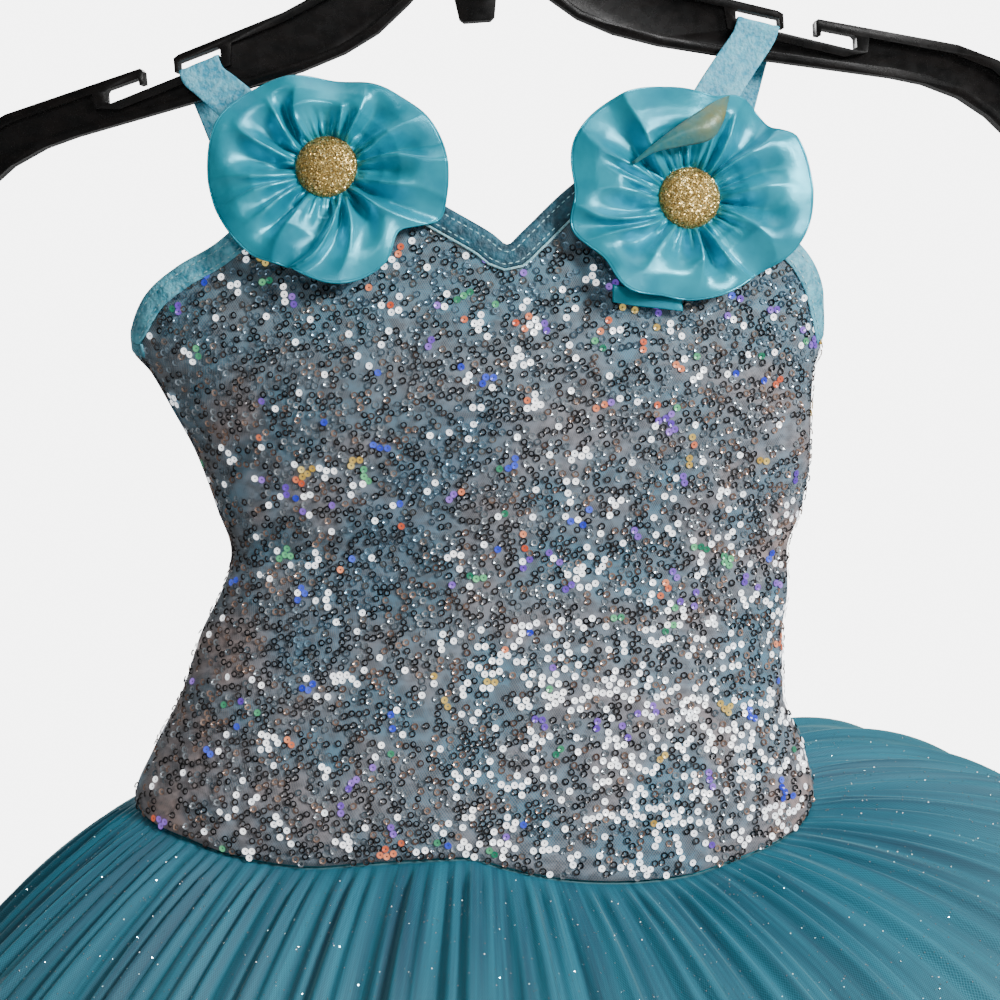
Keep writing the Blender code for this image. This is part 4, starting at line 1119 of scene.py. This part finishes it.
def strap_ends(side):
    """A strap's table with an end added at each side, on the panels' top corners."""
    tops = {
        "left": ((TOP_FRONT[0][-1], TOP_FRONT[1][0]), (TOP_BACK[1][-1], TOP_BACK[2][0])),
        "right": ((TOP_FRONT[1][-1], TOP_FRONT[2][0]), (TOP_BACK[0][-1], TOP_BACK[1][0])),
    }[side]
    table = LEFT_STRAP if side == "left" else RIGHT_STRAP
    ends = []
    for pair, near in zip(tops, (table[0], table[-1])):
        corners = [torso_points(*spot, -BODICE_WALL / 2)[0] for spot in pair]
        first, last = sorted(corners, key=lambda p: p[0])
        middle = (first + last) / 2
        away = np.array(near[:3]) - middle
        ends.append((*(middle + unit(away) * STRAP_SEAT), *unit(last - first)))
    return [ends[0], *table, ends[1]]


def build_straps():
    made = []
    shares = np.array([share for share, _ in STRAP_PROFILE])
    for side in ("left", "right"):
        path = np.array(catmull(strap_ends(side), 7))
        spots, across = path[:, :3], unit(path[:, 3:])
        normal = np.cross(across, unit(np.gradient(spots, axis=0)))
        walk = walked(spots)
        rows = []
        for share, off in STRAP_PROFILE:
            wave = 0.12 * np.sin(walk * 0.55 + share * 2) * (abs(share) > 0.6)
            rows.append(spots + across * (share * STRAP_WIDTH / 2) + normal * (off + wave)[:, None])
        strap = sheet_piece(
            f"strap_{side}_band", np.array(rows)[:, ::-1], cloth_map(walk, shares * STRAP_WIDTH / 2), "strap",
            STRAP_WALL, side=0, replaced=[f"strap_{side}"],
        )
        made.append((strap, float(walk[-1])))
    return made


def skirt_points(layer):
    """Rows of a net layer from the hip seam to its hem, and the map of the net."""
    around = [math.radians(row.around) for row in FLARES] + [2 * math.pi]
    phi = np.linspace(0, 2 * np.pi, layer.columns + 1)
    start, end = (
        np.interp(phi, *smooth_table(around, [getattr(row, name) for row in (*FLARES, FLARES[0])], 720))
        for name in ("start", "end")
    )
    start = start + layer.steeper_deg
    end = np.minimum(88, end + layer.steeper_deg * 0.9)
    turned = np.where(phi > 1.5 * np.pi, phi - 2 * np.pi, phi)
    root, _ = torso_points(turned, hip_height(turned) - layer.drop, BRIEF_SKIN + 2 * SEAM_GAP)
    hem = np.stack([MIDDLE_X + HEM_HALF_WIDTH * np.sin(phi), -HEM_HALF_DEPTH * np.cos(phi)], -1)
    away = np.pad(unit(hem - root[:, :2]), ((0, 0), (0, 1)))
    uneven = 1 + 0.28 * np.sin(3 * phi + 1) + 0.2 * np.sin(8 * phi + 2.2)
    gather = np.cos(GATHERS * phi + 0.35 * np.sin(6 * phi)) * uneven
    fine = np.cos(120 * phi + 0.8 * np.sin(9 * phi)) + 0.5 * np.cos(160 * phi + 0.9 * np.sin(13 * phi + 1))
    broad = np.sin(5 * phi + 0.7) + 0.6 * np.sin(11 * phi + 2)
    steps = 200
    point = root
    track, normals = [root], []
    up_axis = np.array([0, 0, 1.0])
    for k in range(steps):
        t = k / steps
        slope = np.radians(start + (end - start) * (t * 0.75 + 0.25 * t * t))[:, None]
        normals.append(away * np.sin(slope) + up_axis * np.cos(slope))
        point = point + (away * np.cos(slope) - up_axis * np.sin(slope)) * (layer.length / steps)
        track.append(point)
    normals.append(normals[-1])
    shares = np.linspace(0, 1, layer.rows) ** 1.25
    rows = []
    for share in shares:
        k = int(round(share * steps))
        grow = max(0.0, share - 0.03) / 0.97
        swell = gather * layer.wave_mm * grow ** 0.7 + broad * layer.broad_mm * grow ** 1.3
        swell = swell * min(1, grow * 8) + fine * layer.fine_mm * min(1, share * 14) * (1 - 0.35 * share)
        rows.append(track[k] + normals[k] * swell[:, None])
    points = np.array(rows)
    points[:, -1] = points[:, 0]
    return points, cloth_map(phi / (2 * np.pi) * line_length(points[-1]), shares * layer.length)


def build_skirt():
    made, grids = [], {}
    for layer in NET_LAYERS:
        points, place = skirt_points(layer)
        grids[layer.name] = points
        piece = sheet_piece(
            f"net_{layer.name}", points[::-1], place[::-1], layer.name + "_net", NET_WALL, closed=True,
            replaced=[f"skirt_{layer.name}"],
        )
        made.append((layer, piece))
    return made, grids


def build_net_glitter(grids):
    points = grids["outer"]
    rows, columns = points.shape[:2]
    j = (dice.uniform(0.03, 1, NET_GLINTS) ** 0.75 * (rows - 2)).astype(int)
    i = dice.integers(0, columns - 1, NET_GLINTS)
    a, b, c = points[j, i], points[j + 1, i], points[j, i + 1]
    normal = unit(np.cross(b - a, c - a))
    normal *= np.sign(normal[:, 2:3] + 0.4 * normal[:, 1:2] * np.sign(a[:, 1:2]) + 1e-6)
    s, t = dice.uniform(0, 1, (2, NET_GLINTS, 1))
    spots = a + (b - a) * s + (c - a) * t * (1 - s)
    shape, faces = ring_shape(5, 0.27, 0.02, 0.0)
    frames = frames_on(spots + normal * 0.35, normal, 42)
    tints = np.array([srgb(*colour) for colour in GLINT_COLOURS])
    picked = tints[dice.integers(0, len(tints), NET_GLINTS)]
    return joined_bits("net_glitter", shape, faces, frames, "glitter", picked)


def rosette_axes(rosette):
    """The rosette's middle, its turn as a matrix, and the ways right, up and out of it."""
    phi = angle_of(rosette.x, rosette.z, False)
    centre, _ = torso_points(phi, rosette.z, rosette.stand)
    turn = Matrix.Rotation(math.radians(rosette.turn_deg), 3, "Z")
    lie = turn @ Matrix.Rotation(math.radians(-rosette.tilt_deg), 3, "X")
    return centre, lie, *(np.array(lie @ Vector(way)) for way in ((1, 0, 0), (0, 0, 1), (0, -1, 0)))


def pocket_depths(ridges, theta, part):
    """How far the ruffle sinks at angles theta, part of the way from the button to its edge: nothing on a
    ridge, and most on the lowest line of the pocket between two of them."""
    turned = []
    for k, ridge in enumerate(ridges):
        swing = (ridge.outer - ridge.inner + 180) % 360 - 180
        weave = 3 * math.sin(5 * part + 2.3 * k) * part
        turned.append((ridge.inner + swing * part ** 0.8 + weave) % 360)
    order = sorted(range(len(ridges)), key=lambda k: turned[k])
    at = np.array([turned[order[-1]] - 360] + [turned[k] for k in order] + [turned[order[0]] + 360])
    rows = np.array([ridges[order[-1]]] + [ridges[k] for k in order])
    theta = theta % 360
    k = np.clip(np.searchsorted(at, theta, side="right") - 1, 0, len(rows) - 1)
    _, _, depth, lowest, soft, reach = rows[k].T
    t = (theta - at[k]) / (at[k + 1] - at[k])
    u = np.where(t < lowest, t / lowest, (1 - t) / (1 - lowest))
    bowl = soft * smooth_step(u) + (1 - soft) * np.sin(np.pi / 2 * u)
    closing = 1 - smooth_step((part / reach - 0.5) / 0.55)
    open_edge = 1 - 0.45 * smooth_step((part - 0.4) / 0.6)
    return depth * bowl * np.where(reach < 1, closing, open_edge) * min(1, part / 0.26) ** 0.7


def pinches(theta, phase, part):
    """Small tight gathers beside the button, gone before the middle of the ruffle."""
    wave = np.sin(27 * theta + phase) + 0.6 * np.sin(41 * theta + 2 * phase)
    return wave * 1.1 * min(1, part * 14) * max(0, 1 - part / 0.5) ** 1.3


def rosette_points(rosette):
    """Rows of a rosette's ruffle from under the button to its edge, and the map of the satin."""
    centre, _, right, up, front = rosette_axes(rosette)
    angles = [math.radians(angle) for angle, _ in rosette.petals]
    radii = [radius for _, radius in rosette.petals]
    edge_at, edges = smooth_table(angles + [angles[0] + 2 * math.pi], radii + [radii[0]], 720)
    theta = np.linspace(0, 2 * np.pi, ROSETTE_COLUMNS + 1)
    edge = np.interp(np.where(theta < angles[0], theta + 2 * np.pi, theta), edge_at, edges)
    around = np.cos(theta)[:, None] * right + np.sin(theta)[:, None] * up
    phase = rosette.pinch_phase
    rim_wave = 3.2 * np.sin(3 * theta + phase) + 2.1 * np.sin(7 * theta + 2 * phase)
    map_around = theta / (2 * np.pi) * RUFFLE_AROUND
    rows, flat = [], []
    for share in np.concatenate([[-1], np.linspace(0, 1, 44) ** 1.1]):
        part = max(0.0, share)
        radius = ROSETTE_FLAT + (edge - ROSETTE_FLAT) * part if share >= 0 else ROSETTE_HOLE + 0 * theta
        crest = np.interp(part, *np.array(ROSETTE_CRESTS).T)
        off = crest - pocket_depths(rosette.ridges, np.degrees(theta), part)
        off = off + pinches(theta, phase, part) + part ** 2 * rim_wave
        rows.append(centre + radius[:, None] * around + off[:, None] * front)
        flat.append(np.stack([map_around, np.full(len(theta), part * RUFFLE_WIDTH)], -1))
    points = np.array(rows)
    points[:, -1] = points[:, 0]
    return points, np.array(flat)


def build_rosettes():
    made = []
    for rosette in ROSETTES:
        points, place = rosette_points(rosette)
        name = f"rosette_{rosette.side}"
        ruffle = sheet_piece(
            name + "_ruffle", points[::-1], place[::-1], "satin", SATIN_WALL, closed=True, side=0,
            replaced=[name],
        )
        extras = [cord_piece(name + "_hem", points[-1, :-1:2], 0.5, "satin", cyclic=True)]
        if rosette.side == "right":
            extras.append(build_flap(name + "_turnback", rosette, TURNBACK, "satin_reverse", 1.4))
            extras.append(build_flap(name + "_tail", rosette, TAIL, "satin", 0.5))
        made.append((ruffle, extras, line_length(points[-1])))
    return made


def build_flap(name, rosette, lines, material, wave_mm):
    """A corner of the ruffle that lies loose between two lines, bellied a little and rippled."""
    centre, _, right, up, front = rosette_axes(rosette)
    first, last = (resample(catmull(line, 8), FLAP_COLUMNS) for line in lines)
    rows = []
    for share in np.linspace(0, 1, FLAP_ROWS):
        line = first * (1 - share) + last * share
        belly = math.sin(math.pi * share) * np.sin(np.linspace(0, np.pi, FLAP_COLUMNS)) * wave_mm * 1.6
        ripple = wave_mm * 0.45 * np.sin(np.linspace(0, 9, FLAP_COLUMNS) + 4 * share)
        local = line[:, 2] + belly + ripple * (1 - share)
        rows.append(centre + line[:, :1] * right + line[:, 1:2] * up + local[:, None] * front)
    place = cloth_map(np.linspace(0, FLAP_LENGTH, FLAP_COLUMNS), np.linspace(0, FLAP_WIDTH, FLAP_ROWS))
    return sheet_piece(name, np.array(rows), place, material, SATIN_WALL, side=0)


def build_buttons():
    """Domed buttons, each with a coat of small gold flakes."""
    dome = BUTTON_HEIGHT - BUTTON_RIM
    profile = [
        (0.0, 0.0), (BUTTON_RADIUS - BUTTON_ROUNDING, 0.0), (BUTTON_RADIUS, BUTTON_ROUNDING),
        (BUTTON_RADIUS, BUTTON_RIM),
    ]
    for k in range(1, DOME_ROWS + 1):
        angle = math.pi / 2 * k / DOME_ROWS
        radius = BUTTON_RADIUS * math.cos(angle) if k < DOME_ROWS else 0.0
        profile.append((radius, BUTTON_RIM + dome * math.sin(angle)))
    for rosette in ROSETTES:
        centre, lie, right, up, front = rosette_axes(rosette)
        seat = centre + front * BUTTON_SEAT
        bm = spun([(radius * MM, height * MM) for radius, height in profile], BUTTON_SIDES)
        bmesh.ops.recalc_face_normals(bm, faces=bm.faces)
        stand = lie @ Matrix.Rotation(math.radians(90), 3, "X")
        for vert in bm.verts:
            vert.co = stand @ vert.co + Vector(seat) * MM
        name = f"button_{rosette.side}"
        finish_piece(name + "_dome", mesh_from(bm, name + "_dome"), "gold_paste", [name])
        share = np.sqrt(dice.uniform(0, 1, BUTTON_FLAKES))
        around = dice.uniform(0, 2 * np.pi, BUTTON_FLAKES)
        angle = np.arccos(np.clip(share, 0, 1))
        flat = np.cos(around)[:, None] * right + np.sin(around)[:, None] * up
        out = (BUTTON_RIM + dome * np.sin(angle))[:, None] * front
        spots = seat + (BUTTON_RADIUS * np.cos(angle))[:, None] * flat + out
        normal = flat * (np.cos(angle) * dome)[:, None]
        normal = unit(normal + front * (np.sin(angle) * BUTTON_RADIUS)[:, None])
        shape, faces = ring_shape(5, 0.3, 0.02, 0.0)
        golds = np.array([srgb(*gold) for gold in GOLDS])
        joined_bits(
            name + "_glitter", shape, faces, frames_on(spots + normal * 0.15, normal, 34), "gold_glitter",
            golds[dice.choice(len(GOLDS), BUTTON_FLAKES, p=GOLD_SHARES)],
        )


def build_hanger():
    """The solids' own hanger and hook, with the arms' edges rounded."""
    for name in ("hanger", "hanger_hook"):
        bm = bmesh.new()
        bm.from_mesh(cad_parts[name].data)
        bmesh.ops.remove_doubles(bm, verts=bm.verts, dist=1e-6)
        if name == "hanger":
            bmesh.ops.dissolve_limit(bm, angle_limit=math.radians(2), verts=bm.verts, edges=bm.edges)
        mesh = mesh_from(bm, name + "_moulded")
        mesh.materials.clear()
        piece = finish_piece(name + "_moulded", mesh, "plastic", [name])
        if name == "hanger":
            rounded = piece.modifiers.new("rounded edges", "BEVEL")
            rounded.width = 0.7 * MM
            rounded.segments = 2
            rounded.limit_method = "ANGLE"
            rounded.angle_limit = math.radians(28)
            rounded.harden_normals = True


def build_stage():
    """A pale sweep, flat under the garment and curving up all round. Distances are metres."""
    floor, flat, bend, top = -0.74, 1.7, 1.3, 1.6
    profile = [(0.0, floor), (flat, floor)]
    for k in range(1, 13):
        angle = math.pi / 2 * k / 12
        profile.append((flat + bend * math.sin(angle), floor + bend * (1 - math.cos(angle))))
    profile.append((flat + bend, top))
    mesh = mesh_from(spun(profile, 72), "studio_sweep")
    mesh.shade_smooth()
    material, tree, shader = new_material("pale_paper", (0.4, 0.4, 0.4, 1), 0.9)
    seen = node(tree, "ShaderNodeLightPath").outputs["Is Camera Ray"]
    bright = node(tree, "ShaderNodeEmission", {"Color": (1, 1, 1, 1), "Strength": 6.0})
    both = node(tree, "ShaderNodeMixShader", {0: seen, 1: shader.outputs[0], 2: bright.outputs[0]})
    feed(tree, tree.nodes["Material Output"].inputs["Surface"], both.outputs[0])
    mesh.materials.append(material)
    sweep = linked("studio_sweep", mesh)


# Distances of lamps and camera are metres
Lamp = namedtuple("Lamp", "name place aim size watts")
LAMPS = records(
    Lamp, ("key", (1.15, -1.05, 0.42), (0.02, 0, -0.34), 0.4, 46),
    ("flash", (0.0, -1.5, 0.35), (0.02, 0, -0.3), 0.2, 4.5),
    ("top", (0.15, 0.1, 0.95), (0, 0, -0.35), 0.9, 7), ("behind", (-0.5, 1.2, 0.4), (0, 0, -0.35), 1.0, 16),
)


SKY_STRENGTH = 0.15


def build_lights():
    for lamp in LAMPS:
        light = bpy.data.lights.new(lamp.name, "AREA")
        light.size = lamp.size
        light.energy = lamp.watts
        obj = linked(lamp.name, light)
        obj.location = lamp.place
        obj.rotation_euler = (Vector(lamp.aim) - Vector(lamp.place)).to_track_quat("-Z", "Y").to_euler()
    world = bpy.data.worlds.new("studio")
    world.use_nodes = True
    sky = world.node_tree.nodes["Background"].inputs
    sky["Color"].default_value = (1, 1, 1, 1)
    sky["Strength"].default_value = SKY_STRENGTH
    bpy.context.scene.world = world


LENS_MM, SENSOR_MM = 81.0, 36.0
CAMERA_PLACE, CAMERA_AIM = (0.0184, -0.92329, -0.20832), (0.0184, -0.030, -0.318)


def build_camera():
    data = bpy.data.cameras.new("camera")
    data.lens = LENS_MM
    data.sensor_width = SENSOR_MM
    camera = linked("camera", data)
    camera.location = CAMERA_PLACE
    aim = Vector(CAMERA_AIM) - camera.location
    camera.rotation_euler = aim.to_track_quat("-Z", "Y").to_euler()
    bpy.context.scene.camera = camera


def main():
    build_camera()
    build_stage()
    build_lights()
    front, back = build_bodice()
    sequins = build_sequins()
    bindings = build_bindings()
    brief, leg_hems = build_brief()
    straps = build_straps()
    nets, grids = build_skirt()
    glints = build_net_glitter(grids)
    rosettes = build_rosettes()
    build_buttons()
    build_hanger()


main()
